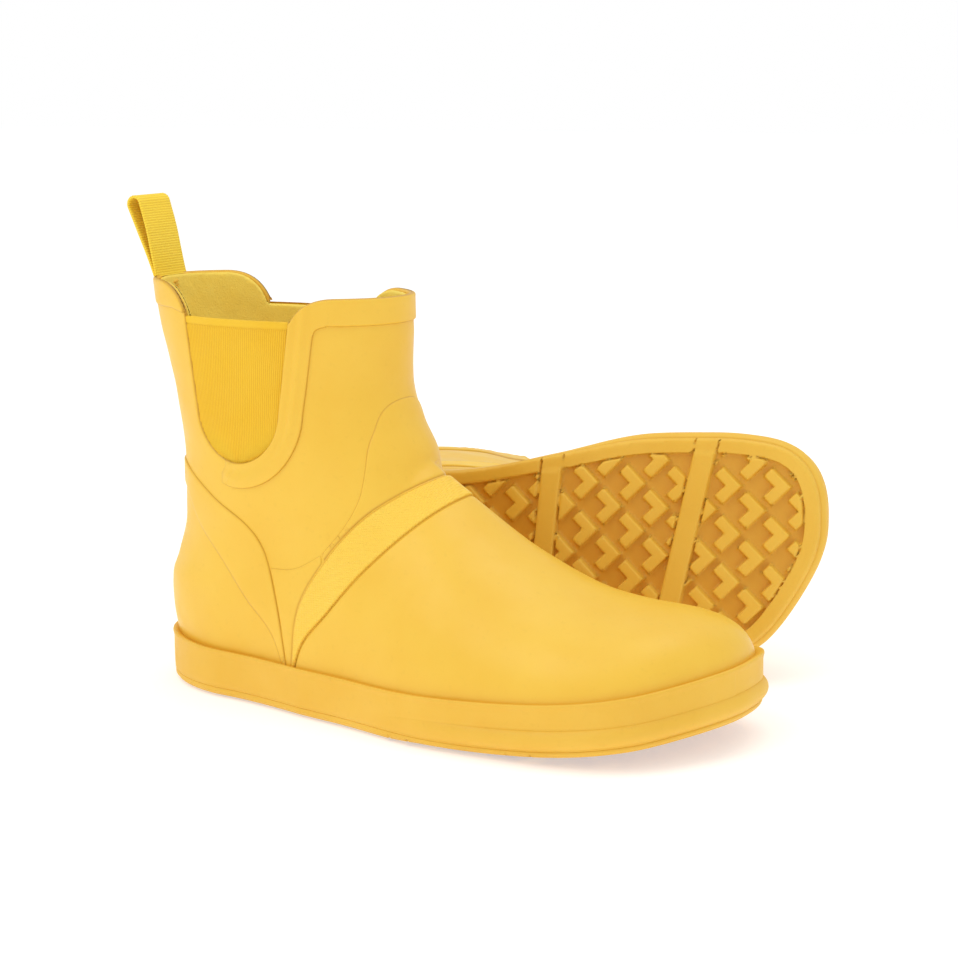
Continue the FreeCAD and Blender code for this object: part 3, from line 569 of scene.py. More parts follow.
RIB_PITCH, RIB_HEIGHT = 0.9, 0.12
CROSS_PITCH, CROSS_HEIGHT = 1.9, 0.05
HEM, HEM_HEIGHT, HEM_GROOVE = 3.2, 0.22, 0.35
GORE_SINK, GORE_TUCK = 0.75, 0.9      # under the face of the rubber, and under its edges


def gore_sheet(side):
    """Ribbed elastic gore with a plain hem along its top edge, tucked under the rubber."""
    rows, columns = 90, 340
    down = np.linspace(0, 1, rows) ** 1.15
    bottom, top = GORE_Z - GORE_RADIUS - GORE_TUCK, COLLAR_SIDE - 0.3
    z = top + (bottom - top) * down
    reach = GORE_RADIUS + GORE_TUCK
    chord = np.sqrt(np.clip(reach ** 2 - np.clip(GORE_Z - z, 0, None) ** 2, 0, None))
    above = np.clip(z - GORE_Z, 0, None)
    low, high = GORE_X - chord - BACK_FLARE * above, GORE_X + chord + FRONT_FLARE * above
    share = np.linspace(0, 1, columns)
    x = low[:, None] + (high - low)[:, None] * share
    z = np.repeat(z[:, None], columns, 1)
    slant = (z - GORE_Z) * 0.02 * (x - GORE_X) / 10
    rib = np.cos(2 * math.pi * (x - slant) / RIB_PITCH)
    cross = np.cos(2 * math.pi * z / CROSS_PITCH)
    hem = np.clip((top - z) / HEM, 0, 1)
    ribbed = np.clip((hem - 0.85) / 0.15, 0, 1)
    border = np.minimum(share, 1 - share)[None, :] * 40
    groove = np.exp(-((top - HEM - z) / 0.35) ** 2)
    depth = (-GORE_SINK + RIB_HEIGHT * rib * ribbed + CROSS_HEIGHT * cross * ribbed
             + HEM_HEIGHT * (1 - ribbed) - 0.8 * (1 - rounded(hem * 5)) - HEM_GROOVE * groove
             - 0.5 * (1 - rounded(border)))
    half = upper_half(x, z, float(side))
    grow = 0.6
    widths = [upper_half(x + dx, z + dz, float(side))
              for dx, dz in ((grow, 0), (-grow, 0), (0, grow), (0, -grow))]
    slope_x, slope_z = (widths[0] - widths[1]) / (2 * grow), (widths[2] - widths[3]) / (2 * grow)
    normal = np.stack([-slope_x, np.full_like(x, float(side)), -slope_z], -1)
    normal /= np.linalg.norm(normal, axis=-1)[..., None]
    points = np.stack([x, ridge(x) + side * half, z], -1) + normal * depth[..., None]
    faces = net_faces(rows, columns)
    if side < 0:
        faces = faces[:, ::-1]
    # painted shade in the valleys between the ribs and where the gore tucks under the rubber
    value = np.clip(0.55 + 0.45 * rib * ribbed, 0, 1) * rounded(border * 0.6)
    return {"points": points.reshape(-1, 3), "faces": faces, "edge": value.ravel()}


def net_faces(rows, columns, closed=False):
    """Quads of a net of points laid out row by row."""
    last = columns if closed else columns - 1
    i, j = np.meshgrid(np.arange(rows - 1), np.arange(last), indexing="ij")
    after = (j + 1) % columns
    return np.stack([i * columns + j, i * columns + after, (i + 1) * columns + after,
                     (i + 1) * columns + j], -1).reshape(-1, 4)


# ---------------------------------------------------------------- sole

def outline_ring(count):
    """Points evenly round the edge of the sole, with outward directions."""
    angle = np.linspace(0, 2 * math.pi, 6001)
    x = SOLE_LENGTH / 2 * (1 - np.cos(angle))
    side = np.where(np.sin(angle) >= 0, -1.0, 1.0)
    loop = np.stack([x, ridge(x) + side * plan_half(x, side)], 1)
    run = np.concatenate([[0], np.cumsum(np.linalg.norm(np.diff(loop, axis=0), axis=1))])
    at = np.linspace(0, run[-1], count, endpoint=False)
    place = np.stack([np.interp(at, run, loop[:, k]) for k in (0, 1)], 1)
    ahead = np.roll(place, -2, 0) - np.roll(place, 2, 0)
    ahead /= np.linalg.norm(ahead, axis=1)[:, None]
    return place, np.stack([ahead[:, 1], -ahead[:, 0]], 1)


RING, RING_OUT = outline_ring(1300)


def swept(profile, closed=True):
    """Band round the sole from (outset, height) pairs, each a number or one value per place."""
    rows = []
    for outset, height in profile:
        place = RING + RING_OUT * np.broadcast_to(outset, len(RING))[:, None]
        z = spring(RING[:, 0]) + height
        rows.append(np.column_stack([place, z]))
    if closed:
        rows.append(rows[0])
    points = np.concatenate(rows)
    return {"points": points, "faces": net_faces(len(rows), len(RING), closed=True)}


OUTSOLE_EDGE = 3.3                   # height where the foxing wraps down over the outsole


def foxing_shape():
    """Sidewall strip with a thin rounded lip along its top."""
    top = foxing_top(RING[:, 0])
    wave = 0.10 * np.sin(RING[:, 0] / 17.0 + np.sign(RING[:, 1]))
    return swept([(-1.6, OUTSOLE_EDGE), (-0.25, OUTSOLE_EDGE), (0.0, OUTSOLE_EDGE + 0.35),
                  (0.12, 6.0), (0.2 + wave, 11.0), (0.12 + wave, top - 3.2), (0.2, top - 2.0),
                  (0.38, top - 1.5), (0.48, top - 0.85), (0.32, top - 0.25), (0.0, top),
                  (-0.8, top - 0.05), (-1.6, top - 0.5), (-4.8, top - 1.8), (-4.8, 8.0)])


def bumper_shape():
    """Raised band on the sidewall that grows towards the toe."""
    x = RING[:, 0]
    part = np.clip((x - 0.42 * SOLE_LENGTH) / (0.35 * SOLE_LENGTH), 0, 1)
    grown = 2.5 * part * part * (3 - 2 * part) - 0.25
    low, high = OUTSOLE_EDGE + 0.2, 12.0
    profile = [(-0.8, low + 0.6)]
    for share in np.linspace(0, 1, 11):
        bulge = max(0.0, math.sin(math.pi * share)) ** 0.7
        profile.append((grown * bulge - 0.3 * (1 - bulge), low + (high - low) * share))
    profile.append((-0.8, high - 0.6))
    return swept(profile)


BARS = [(0.56 * SOLE_LENGTH, 5.0), (0.787 * SOLE_LENGTH, 12.0)]
BAR_HALF, GROOVE, RIM, TREAD_DEPTH = 4.25, 1.0, 6.0, 3.0
RIM_RISE, RIM_RISE_FROM = 0.8, 0.52  # ahead of the arch the rim stays this far off the ground
LUG_STEP, LUG_REACH = 10.0, 7.6
LUG_ACROSS = 4.6 / math.sqrt(2)
LUG_SHAPE = [(0, 0), (-LUG_REACH, LUG_REACH),
             (-LUG_REACH - LUG_ACROSS, LUG_REACH - LUG_ACROSS), (-2 * LUG_ACROSS, 0),
             (-LUG_REACH - LUG_ACROSS, LUG_ACROSS - LUG_REACH), (-LUG_REACH, -LUG_REACH)]


def in_from_edge(plan):
    """Distance inside the edge of the sole."""
    every = RING[::4]
    loop = np.concatenate([every, every[:1]])
    near = to_polyline(plan[:, 0], plan[:, 1], loop)
    return np.where(within(plan[:, 0], plan[:, 1], every), near, -near)


def in_lug(plan):
    """Signed distance inside the nearest V-shaped lug of the staggered grid."""
    best = np.full(len(plan), -1e9)
    i0 = np.round(plan[:, 0] / LUG_STEP)
    j0 = np.round(plan[:, 1] / LUG_STEP - 0.6)
    shape = np.array(LUG_SHAPE)
    for di in (-1, 0, 1, 2):
        for dj in (-1, 0, 1):
            i, j = i0 + di, j0 + dj
            x = plan[:, 0] - i * LUG_STEP
            y = plan[:, 1] - (j + 0.6) * LUG_STEP
            near = to_polyline(x, y, np.concatenate([shape, shape[:1]]))
            signed = np.where(within(x, y, shape), near, -near)
            best = np.where((i + j) % 2 == 1, np.maximum(best, signed), best)
    return best


def off_bar(plan, bar):
    """Distance from the middle line of a bar."""
    centre, lean = bar[0], math.radians(bar[1])
    return np.abs((plan[:, 0] - centre) * math.cos(lean) - plan[:, 1] * math.sin(lean))


def in_tread(plan):
    """Signed distance inside the raised parts of the tread: rim, bars and lugs."""
    edge = in_from_edge(plan)
    rim = RIM - edge
    lugs = np.minimum(in_lug(plan), edge - RIM - GROOVE)
    bars = np.full(len(plan), -1e9)
    for bar in BARS:
        off = off_bar(plan, bar)
        bars = np.maximum(bars, BAR_HALF - off)
        clear = off - BAR_HALF - GROOVE
        rim, lugs = np.minimum(rim, clear), np.minimum(lugs, clear)
    return np.maximum(np.maximum(rim, bars), lugs)


TREAD_LEVELS = (-0.45, -0.05, 0.25, 0.8)


def tread_height(plan):
    """Height of the underside over the sprung ground."""
    carved = np.interp(in_tread(plan), TREAD_LEVELS, (TREAD_DEPTH, 0.75, 0.18, 0.0))
    edge = in_from_edge(plan)
    rolled = np.interp(edge, (0.1, 0.45, 1.1, 2.0), (1.6, 0.75, 0.2, 0.0))
    on_rim = np.clip((RIM + 0.4 - edge) / 0.4, 0, 1)
    raised = RIM_RISE * on_rim * np.clip((plan[:, 0] - RIM_RISE_FROM * SOLE_LENGTH) / 16, 0, 1)
    return np.maximum(carved, rolled + raised)


TREAD_STEP = 1.3


def outsole_shape():
    """Underside with rim, bars and V-shaped lugs, and the thin outer wall."""
    xs, ys = np.arange(-1, SOLE_LENGTH + 2, TREAD_STEP), np.arange(-56.0, 50.0, TREAD_STEP)
    plan = np.stack(np.meshgrid(xs, ys, indexing="ij"), -1).reshape(-1, 2)
    quads = net_faces(len(xs), len(ys))
    sheet = (plan, np.concatenate([quads[:, [0, 1, 2]], quads[:, [0, 2, 3]]]))
    sheet = split(sheet, in_from_edge, 0.1)
    sheet = kept(sheet, in_from_edge, 0.1)
    for level in TREAD_LEVELS:
        sheet = split(sheet, in_tread, level)
    sheet = split(sheet, in_from_edge, 1.1)
    height = tread_height(sheet[0])
    under = np.column_stack([sheet[0], spring(sheet[0][:, 0]) + height])
    foot = tread_height(RING - 0.12 * RING_OUT)
    wall = swept([(-2.2, 6.6), (-0.6, 6.6), (-0.6, OUTSOLE_EDGE), (-0.25, OUTSOLE_EDGE - 0.05),
                  (-0.1, np.maximum(foot, OUTSOLE_EDGE - 0.4)), (-0.1, foot)], closed=False)
    # painted shade on the tread floors between rim, bars and lugs; the outer wall gets none
    raised = np.clip(in_tread(sheet[0]) / 0.8, -1, 1) * 0.5 + 0.5
    return {"points": np.concatenate([under, wall["points"]]),
            "faces": [*sheet[1].tolist(), *(wall["faces"] + len(under)).tolist()],
            "edge": np.concatenate([raised, np.ones(len(wall["points"]))])}


# ---------------------------------------------------------------- webbing and thread

LOOP_WIDTH, LOOP_HEIGHT, LOOP_BULGE, LOOP_LEAN = 20.0, 33.0, 3.2, 19.0
LOOP_ROOT = -2.5                     # its ends stop here, clear of the lining as it swings
WEBBING, WEB_RIB, WEB_RIB_PITCH = 1.1, 0.09, 1.05
HINGE_X = float(back_line(COLLAR_BACK)) + 1.2
HINGE_Z = COLLAR_BACK + 1.5


def loop_shape():
    """Teardrop loop of grosgrain webbing with ribs across its width."""
    head = LOOP_HEIGHT - LOOP_BULGE - 0.5
    bend = np.linspace(-8, 188, 40)
    over = np.stack([LOOP_BULGE * np.cos(np.radians(bend)),
                     head + LOOP_BULGE * np.sin(np.radians(bend))], 1)
    up = smooth_line([(0.55, LOOP_ROOT), (0.6, 0), (1.5, 8), (2.7, 18), tuple(over[0])])
    down = smooth_line([tuple(over[-1]), (-2.1, 18), (-1.1, 8), (-0.6, 0), (-0.6, LOOP_ROOT)])
    path = np.concatenate([up[:-1], over, down[1:]])
    run = np.concatenate([[0], np.cumsum(np.linalg.norm(np.diff(path, axis=0), axis=1))])
    stations = int(run[-1] / 0.22)
    at = np.linspace(0, run[-1], stations)
    path = np.stack([np.interp(at, run, path[:, k]) for k in (0, 1)], 1)
    ahead = np.gradient(path, axis=0)
    ahead /= np.linalg.norm(ahead, axis=1)[:, None]
    out = np.stack([ahead[:, 1], -ahead[:, 0]], 1)
    wave = np.cos(2 * math.pi * at / WEB_RIB_PITCH)
    half_width, half = LOOP_WIDTH / 2, WEBBING / 2
    across = [(-1.0, 0.0), (-0.985, 0.75), (-0.93, 1.12), (-0.86, 1.0), (-0.4, 1.0), (0.4, 1.0),
              (0.86, 1.0), (0.93, 1.12), (0.985, 0.75), (1.0, 0.0), (0.985, -0.75),
              (0.93, -1.12), (0.86, -1.0), (0.4, -1.0), (-0.4, -1.0), (-0.86, -1.0),
              (-0.93, -1.12), (-0.985, -0.75)]
    lean = math.radians(LOOP_LEAN)
    points = []
    for share, lift in across:
        thick = lift * (half + WEB_RIB * wave)
        x = path[:, 0] + out[:, 0] * thick
        z = path[:, 1] + out[:, 1] * thick
        points.append(np.stack([HINGE_X + x * math.cos(lean) - z * math.sin(lean),
                                np.full(len(x), share * half_width),
                                HINGE_Z + x * math.sin(lean) + z * math.cos(lean)], 1))
    points = np.stack(points, 1).reshape(-1, 3)
    faces = net_faces(stations, len(across), closed=True)
    # painted shade in the valleys between the webbing's ribs
    value = np.repeat(0.5 + 0.5 * wave, len(across))
    return {"points": points, "faces": faces, "edge": value}


STITCH_COLUMNS, STITCH_ROWS, STITCH_PITCH = (-7.0, 0.0, 7.0), 6, 1.5
FIRST_STITCH, STITCH_INSIDE = 3.2, 4.3                  # below the collar, ahead of its back
STITCH_HALF, THREAD_RADIUS, THREAD_BOW = 1.7, 0.42, 0.45


def stitch_shape():
    """Bar tacks through the back of the lining, each a short bowed thread."""
    points, faces = [], []
    turns = np.linspace(0, 2 * math.pi, 8, endpoint=False)
    share = np.linspace(-1, 1, 9)
    for column in STITCH_COLUMNS:
        for row in range(STITCH_ROWS):
            z = COLLAR_BACK - FIRST_STITCH - STITCH_PITCH * row
            x = float(back_line(z)) + STITCH_INSIDE
            start = sum(len(p) for p in points)
            bow = THREAD_BOW * (1 - share ** 2)
            ring = []
            for s, b in zip(share, bow):
                radius = THREAD_RADIUS * math.sqrt(max(0.04, 1 - s ** 4))
                ring.append(np.stack([x + b + radius * np.cos(turns),
                                      column + STITCH_HALF * s + 0 * turns,
                                      z + 0.35 * s + radius * np.sin(turns)], 1))
            points.append(np.concatenate(ring))
            faces.append(net_faces(len(share), len(turns), closed=True) + start)
    return {"points": np.concatenate(points), "faces": np.concatenate(faces)}


# ---------------------------------------------------------------- materials

def shader_node(tree, kind, inputs=None, **settings):
    """New shader node; an input given as a socket is linked, anything else is set."""
    made = tree.nodes.new(kind)
    for key, value in settings.items():
        setattr(made, key, value)
    for key, value in (inputs or {}).items():
        if isinstance(value, bpy.types.NodeSocket):
            tree.links.new(value, made.inputs[key])
        else:
            made.inputs[key].default_value = value
    return made


def linear(red, green, blue):
    """Colour from 0-255 screen values."""
    shares = [c / 255 for c in (red, green, blue)]
    return tuple(c / 12.92 if c < 0.04045 else ((c + 0.055) / 1.055) ** 2.4
                 for c in shares) + (1.0,)


def noise(tree, scale, detail=3.0, roughness=0.55):
    """Noise in the object's own space, as a number."""
    place = shader_node(tree, "ShaderNodeTexCoord")
    return shader_node(tree, "ShaderNodeTexNoise", {
        "Vector": place.outputs["Object"], "Scale": scale, "Detail": detail,
        "Roughness": roughness}).outputs["Fac"]


def mixed(tree, share, first, second, mode="MIX"):
    """Colour between two others."""
    made = shader_node(tree, "ShaderNodeMix", data_type="RGBA", blend_type=mode)
    for socket, value in ((0, share), (6, first), (7, second)):
        if isinstance(value, bpy.types.NodeSocket):
            tree.links.new(value, made.inputs[socket])
        else:
            made.inputs[socket].default_value = value
    return made.outputs[2]


def ramp(tree, value, low, high, start=0.0, end=1.0):
    """A number carried from one range to another."""
    return shader_node(tree, "ShaderNodeMapRange", {
        "Value": value, "From Min": start, "From Max": end, "To Min": low,
        "To Max": high}).outputs["Result"]


def material(name, colour, shade, grain, rough, bump, sheen=0.0, seam=0.8, weave=0.0, soft=0.0):
    """Principled material: two tones by noise, painted shade where the edge attribute is low,
    grain in roughness and bump.
    """
    made = bpy.data.materials.new(name)
    made.use_nodes = True
    tree = made.node_tree
    surface = tree.nodes["Principled BSDF"]
    clouds = ramp(tree, noise(tree, 28.0, 4.0), 0, 1, 0.35, 0.68)
    tone = mixed(tree, clouds, colour, shade)
    specks = ramp(tree, noise(tree, 420.0, 2.0), 0, 0.10, 0.60, 0.74)
    tone = mixed(tree, specks, tone, tuple(c * 0.72 for c in shade[:3]) + (1.0,))
    # the edge attribute is a painted-shade mask: 0 takes the painted shade colour, 1 the plain
    # tone
    edge = shader_node(tree, "ShaderNodeAttribute", attribute_name="edge").outputs["Fac"]
    # painted shade colour: the tone scaled down by seam, more in green and most in blue
    painted_shade_colour = tuple(c * k for c, k in zip(colour[:3], (seam, seam * 0.84, seam * 0.60))) + (1.0,)
    tone = mixed(tree, ramp(tree, edge, 0, 1, 0.0, 0.6), painted_shade_colour, tone)
    tree.links.new(tone, surface.inputs["Base Color"])
    tree.links.new(ramp(tree, noise(tree, 90.0, 3.0), rough - 0.06, rough + 0.07, 0.3, 0.7),
                   surface.inputs["Roughness"])
    surface.inputs["Specular IOR Level"].default_value = 0.42
    surface.inputs["Sheen Weight"].default_value = sheen
    surface.inputs["Sheen Tint"].default_value = colour
    surface.inputs["Subsurface Weight"].default_value = soft
    surface.inputs["Subsurface Radius"].default_value = (0.004, 0.002, 0.0006)
    height = noise(tree, grain, 4.0, 0.6)
    if weave:
        height = mixed(tree, 0.85, height, woven(tree, weave))
    relief = shader_node(tree, "ShaderNodeBump", {
        "Height": height, "Strength": bump, "Distance": 0.0004})
    tree.links.new(relief.outputs["Normal"], surface.inputs["Normal"])
    return made


def woven(tree, pitch):
    """Checked weave in the sheet's own map, with its threads a pitch apart."""
    place = shader_node(tree, "ShaderNodeUVMap", uv_map="sheet")
    parts = shader_node(tree, "ShaderNodeSeparateXYZ", {"Vector": place.outputs["UV"]})
    waves = []
    for axis in ("X", "Y"):
        turn = shader_node(tree, "ShaderNodeMath", {0: parts.outputs[axis],
                                                    1: 2 * math.pi / pitch},
                           operation="MULTIPLY")
        waves.append(shader_node(tree, "ShaderNodeMath", {0: turn.outputs[0]},
                                 operation="SINE").outputs[0])
    both_ways = shader_node(tree, "ShaderNodeMath", {0: waves[0], 1: waves[1]},
                            operation="MULTIPLY")
    return ramp(tree, both_ways.outputs[0], 0, 1, -0.6, 0.6)


# seam scales each colour down to its painted shade at seams, edges, tread floors and rib valleys
RUBBER = material("upper_rubber", linear(241, 196, 68), linear(238, 190, 60), 2600.0, 0.42, 0.10,
                  seam=0.68, soft=0.06)
STRAP_RUBBER = material("strap_rubber", linear(255, 212, 78), linear(254, 206, 70), 2600.0, 0.50,
                        0.65, seam=0.70, weave=1.25, soft=0.06)
SOLE_RUBBER = material("sole_rubber", linear(237, 190, 68), linear(233, 183, 58), 1900.0, 0.52,
                       0.16, seam=0.86, soft=0.06)
FILLER = material("filler_rubber", linear(190, 165, 125), linear(170, 148, 110), 700.0, 0.8, 0.4)
GORE = material("gore_elastic", linear(244, 199, 48), linear(240, 191, 38), 3600.0, 0.75, 0.4,
                sheen=0.25, seam=0.82)
LINING = material("lining_textile", linear(255, 228, 108), linear(255, 220, 92), 1500.0, 0.95, 1.0,
                  sheen=0.5)
WEB = material("loop_webbing", linear(255, 225, 72), linear(255, 219, 60), 3200.0, 0.7, 0.4,
               sheen=0.3, seam=0.86)
THREAD = material("stitch_thread", linear(246, 196, 70), linear(236, 180, 60), 4200.0, 0.7, 0.6,
                  sheen=0.2)
BOARD = material("board_fibre", linear(205, 190, 160), linear(190, 172, 140), 900.0, 0.9, 0.5)
PLASTIC = material("counter_plastic", linear(225, 222, 214), linear(212, 208, 200), 500.0, 0.45,
                   0.1)
FOOTBED = material("footbed_foam", linear(240, 188, 88), linear(228, 170, 70), 1400.0, 0.95, 0.9,
                   sheen=0.4)

# ---------------------------------------------------------------- pieces of both boots


def to_standing(points):
    """Design millimetres to the frame's metres for the standing boot."""
    return points * SCALE + np.array([SOLE_LOW[0], 0, 0])


def to_lying(points):
    """Design millimetres to the frame's metres for the lying boot."""
    return (to_standing(points) * (1, -1, 1)) @ LYING_TURN.T + LYING_SHIFT


def object_from(name, points, faces, shape, finish):
    """Smooth mesh object with its painted shade mask and, where given, its sheet map."""
    mesh = bpy.data.meshes.new(name)
    mesh.from_pydata(points.tolist(), [], faces)
    mesh.shade_smooth()
    # the edge attribute holds the painted shade mask, 1 where nothing is painted
    shading = mesh.attributes.new("edge", "FLOAT", "POINT")
    value = shape.get("edge", np.ones(len(points)))
    shading.data.foreach_set("value", np.asarray(value, np.float32))
    if "map" in shape:
        index = np.empty(len(mesh.loops), int)
        mesh.loops.foreach_get("vertex_index", index)
        layer = mesh.uv_layers.new(name="sheet")
        layer.data.foreach_set("uv", shape["map"][index].astype(np.float32).ravel())
    welded = bmesh.new()
    welded.from_mesh(mesh)
    bmesh.ops.remove_doubles(welded, verts=welded.verts, dist=6e-6)
    bmesh.ops.dissolve_degenerate(welded, dist=2e-6, edges=welded.edges)
    if shape["outwards"]:
        bmesh.ops.recalc_face_normals(welded, faces=welded.faces)
    welded.to_mesh(mesh)
    welded.free()
    made = bpy.data.objects.new(name, mesh)
    bpy.context.scene.collection.objects.link(made)
    made.data.materials.append(finish)
    return made


CLOSED_SHAPES = ("foxing_strip", "toe_bumper", "pull_loop", "loop_stitches")


def both_boots(name, shape, finish, body="boot"):
    """The piece on the standing boot and its mirror image on the lying one."""
    shape["outwards"] = name in CLOSED_SHAPES
    faces = [list(face) for face in shape["faces"]]
    for side, place in (("right", to_standing), ("left", to_lying)):
        turned = faces if side == "right" else [face[::-1] for face in faces]
        made = object_from(f"{side}_{name}_look", place(shape["points"]), turned, shape, finish)
        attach(made, f"{side}_{body}")
        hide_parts(f"{side}_{name}")


STRAP_SLANT = 49.0                   # the instep strap climbs at this angle in the side view
FAR_AHEAD = SOLE_LENGTH + 30


def panel_shape(edges, thickness, extra, seed):
    """Overlay panel as a shape with a sheet map along the instep strap."""
    points, faces, edge, params = panel(edges, thickness, extra, seed)
    x, z = side_view(params)
    slant = math.radians(STRAP_SLANT)
    weave = np.stack([x * math.cos(slant) + z * math.sin(slant),
                      z * math.cos(slant) - x * math.sin(slant)], 1)
    return {"points": points, "faces": faces, "edge": edge, "map": weave}


BEAD_OFF, BEAD_WIDTH, BEAD_HEIGHT = 6.2, 1.5, 0.65      # raised bead inside the frame
DIP_OFF, DIP_WIDTH, DIP_DEPTH = 3.6, 1.2, 0.4           # and the soft dip on its gore side
TAIL_SINK = 1.1                      # the frame's end sinks this far towards the shell


def frame_ridge(params):
    """Soft raised bead that follows the gore inside its frame."""
    off = outside_gore(params)
    x, z = side_view(params)
    fade = np.clip((x - GORE_X + 18) / 14, 0, 1) * np.clip((GORE_FRONT + 15 - x) / 8, 0, 1)
    bead = (BEAD_HEIGHT * np.exp(-((off - BEAD_OFF) / BEAD_WIDTH) ** 2)
            - DIP_DEPTH * np.exp(-((off - DIP_OFF) / DIP_WIDTH) ** 2))
    bead *= np.where(z < GORE_Z, np.clip((x - GORE_X + 14) / 12, 0, 1), 1) * fade
    angle = np.arctan2(z - GORE_Z, x - GORE_X) % (2 * math.pi)
    grown = np.where(z < GORE_Z, np.clip((angle - ARC_END) / FRAME_FADE, 0, 1), 1)
    return bead - TAIL_SINK * (1 - grown) ** 2


def overlay_panels():
    """Name, boundary with edge widths, thickness, relief and finish of each overlay."""
    heel = [(HEEL_TOP, 0.8), (HEEL_FOOT[::-1], 2.6)]
    meeting = 0.372 * SOLE_LENGTH        # where the saddle and the waist panel meet the strap
    saddle = [(SADDLE_EDGE, 1.0), (STRAP_TOP[STRAP_TOP[:, 0] > meeting], 2.0)]
    waist_top = clipped(WAIST_EDGE, 0.272 * SOLE_LENGTH, 0.368 * SOLE_LENGTH)
    heel_side = HEEL_TOP[HEEL_TOP[:, 1] < 0.57 * INSTEP]
    strap_side = STRAP_TOP[STRAP_TOP[:, 0] < meeting]
    waist = [(waist_top, 1.0), (heel_side, 0.8), (strap_side, 2.0)]
    vamp_rest = np.array([(FAR_AHEAD, INSTEP + 5), (FAR_AHEAD, -5), (0.3 * SOLE_LENGTH, -5)])
    vamp = [(STRAP_FOOT, 1.2), (vamp_rest, 1.0)]
    strap = [(STRAP_TOP, 1.8), (STRAP_FOOT[::-1], 0.9)]
    return [("heel_strap", heel, 0.75, None, RUBBER),
            ("saddle_panel", saddle, 0.55, None, RUBBER),
            ("waist_panel", waist, 0.35, None, RUBBER),
            ("toe_vamp", vamp, 0.5, None, RUBBER),
            ("instep_strap", strap, 1.15, None, STRAP_RUBBER),
            ("collar_band", collar_band_edges(), 0.95, frame_ridge, RUBBER),
            ("rear_collar_band", rear_band_edges(), 0.6, None, RUBBER)]


def build_upper():
    """Shell, overlays, gores and lining of both boots."""
    both_boots("upper_shell", shell_sheets(), RUBBER)
    for seed, (name, edges, thickness, extra, finish) in enumerate(overlay_panels(), start=4):
        both_boots(name, panel_shape(edges, thickness, extra, seed), finish)
    both_boots("gore_lateral", gore_sheet(-1), GORE)
    both_boots("gore_medial", gore_sheet(1), GORE)
    both_boots("lining_sock", lining_sheets(), LINING)


def build_rest():
    """Sole pieces, pull loops and stitches of both boots."""
    both_boots("foxing_strip", foxing_shape(), SOLE_RUBBER)
    both_boots("toe_bumper", bumper_shape(), SOLE_RUBBER)
    both_boots("outsole", outsole_shape(), SOLE_RUBBER)
    both_boots("pull_loop", loop_shape(), WEB, body="pull_loop")
    both_boots("loop_stitches", stitch_shape(), THREAD)


def finish_hidden_nodes():
    """Materials of the CAD nodes that stay as they are."""
    for side in ("right_", "left_"):
        for node_name, finish in (("filler_sheet", FILLER), ("insole_board", BOARD),
                                  ("heel_counter", PLASTIC), ("loop_anchor", WEB),
                                  ("footbed", FOOTBED)):
            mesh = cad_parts[side + node_name].data
            mesh.materials.clear()
            mesh.materials.append(finish)


# ---------------------------------------------------------------- studio

CAMERA_TURN, CAMERA_HEIGHT, CAMERA_AWAY, CAMERA_ROLL = 30.93, 258.8, 853.3, -0.59
CAMERA_AIM = np.array([149.7, 0.0, 95.0])
LENS = 82.8


def set_camera():
    """Camera at the viewing angle of a catalogue photo, aimed over the standing boot."""
    turn = math.radians(CAMERA_TURN)
    place = CAMERA_AIM * (1, 1, 0) + np.array([math.sin(turn) * CAMERA_AWAY,
                                               -math.cos(turn) * CAMERA_AWAY, CAMERA_HEIGHT])
    eye, aim = Vector(to_standing(place)), Vector(to_standing(CAMERA_AIM))
    data = bpy.data.cameras.new("camera")
    data.lens = LENS
    camera = bpy.data.objects.new("camera", data)
    bpy.context.scene.collection.objects.link(camera)
    camera.matrix_world = (Matrix.Translation(eye)
                           @ (aim - eye).to_track_quat("-Z", "Y").to_matrix().to_4x4()
                           @ Matrix.Rotation(math.radians(CAMERA_ROLL), 4, "Z"))
    bpy.context.scene.camera = camera


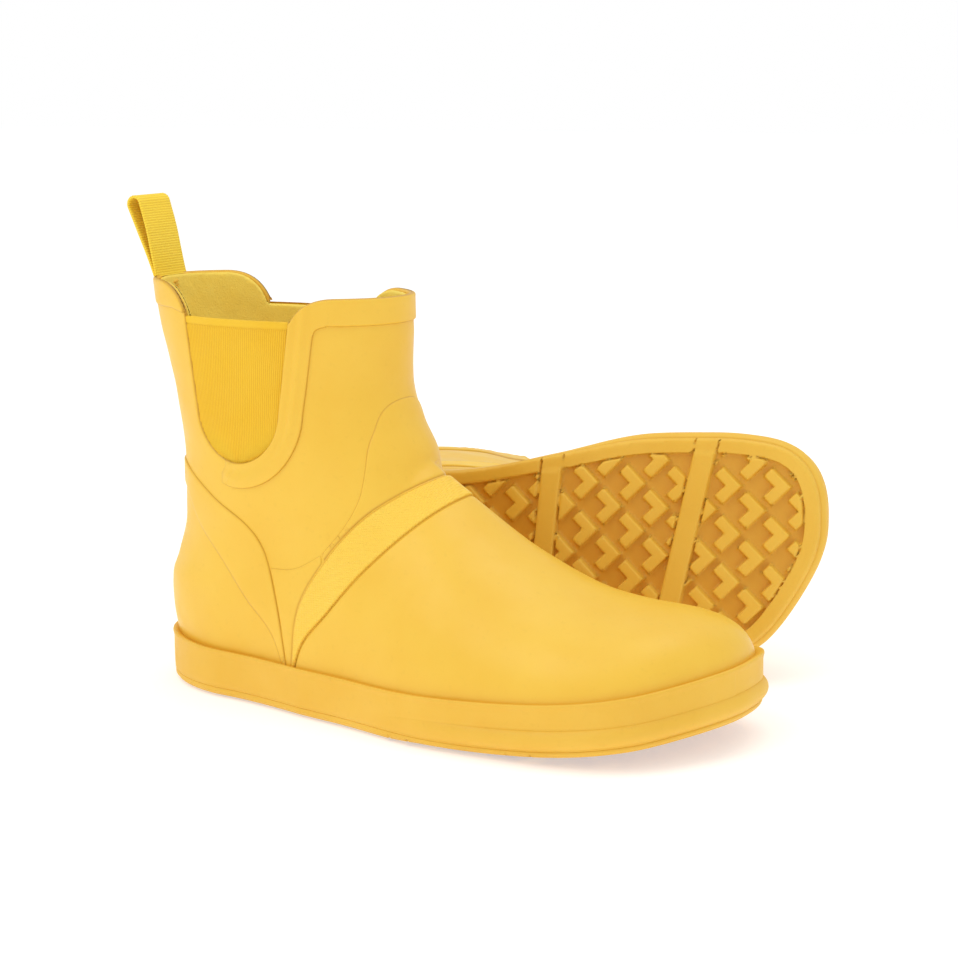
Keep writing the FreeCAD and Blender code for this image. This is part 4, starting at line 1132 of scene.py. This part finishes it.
def area_light(name, offset, aim, width, power):
    """Soft white square light off a point that it is aimed at, in metres and watts."""
    place = aim + Vector(offset)
    data = bpy.data.lights.new(name, "AREA")
    data.shape = "SQUARE"
    data.size, data.energy = width, power
    lamp = bpy.data.objects.new(name, data)
    lamp.location = place
    lamp.rotation_euler = (aim - place).to_track_quat("-Z", "Y").to_euler()
    bpy.context.scene.collection.objects.link(lamp)


SKY_STRENGTH, SKY_SEEN = 0.79, 1.0    # light from the sky, and its brightness in the picture
FLOOR_COLOUR = (0.93, 0.82, 0.68)     # with the glow it looks white and keeps shadows grey
FLOOR_GLOW = (0.27, 0.36, 0.47)
FLOOR_REACH, FLOOR_GAP = 6.0, 0.0003


def set_studio():
    """White floor, even sky and soft lights from above."""
    low, high = (Vector(c) for c in CAD_BOX)
    middle = (low + high) / 2
    mesh = bpy.data.meshes.new("floor")
    corners = [(middle.x + sx * FLOOR_REACH, middle.y + sy * FLOOR_REACH, low.z - FLOOR_GAP)
               for sx, sy in ((-1, -1), (1, -1), (1, 1), (-1, 1))]
    mesh.from_pydata(corners, [], [(0, 1, 2, 3)])
    floor = bpy.data.objects.new("floor", mesh)
    bpy.context.scene.collection.objects.link(floor)
    white = bpy.data.materials.new("studio_floor")
    white.use_nodes = True
    paint = white.node_tree.nodes["Principled BSDF"]
    paint.inputs["Base Color"].default_value = (*FLOOR_COLOUR, 1)
    paint.inputs["Emission Color"].default_value = (*FLOOR_GLOW, 1)
    paint.inputs["Emission Strength"].default_value = 1.0
    paint.inputs["Roughness"].default_value = 0.9
    paint.inputs["Specular IOR Level"].default_value = 0.1
    mesh.materials.append(white)
    world = bpy.data.worlds.new("studio")
    world.use_nodes = True
    sky = world.node_tree.nodes["Background"]
    sky.inputs["Color"].default_value = (1, 1, 1, 1)
    seen = shader_node(world.node_tree, "ShaderNodeLightPath").outputs["Is Camera Ray"]
    strength = ramp(world.node_tree, seen, SKY_STRENGTH, SKY_SEEN)
    world.node_tree.links.new(strength, sky.inputs["Strength"])
    bpy.context.scene.world = world
    area_light("key", (-0.55, -0.9, 1.3), middle, 1.1, 6.0)
    area_light("top", (0.35, 0.25, 1.5), middle, 1.0, 5.0)
    bpy.context.scene.view_settings.view_transform = "Standard"


build_upper()
build_rest()
finish_hidden_nodes()
set_camera()
set_studio()
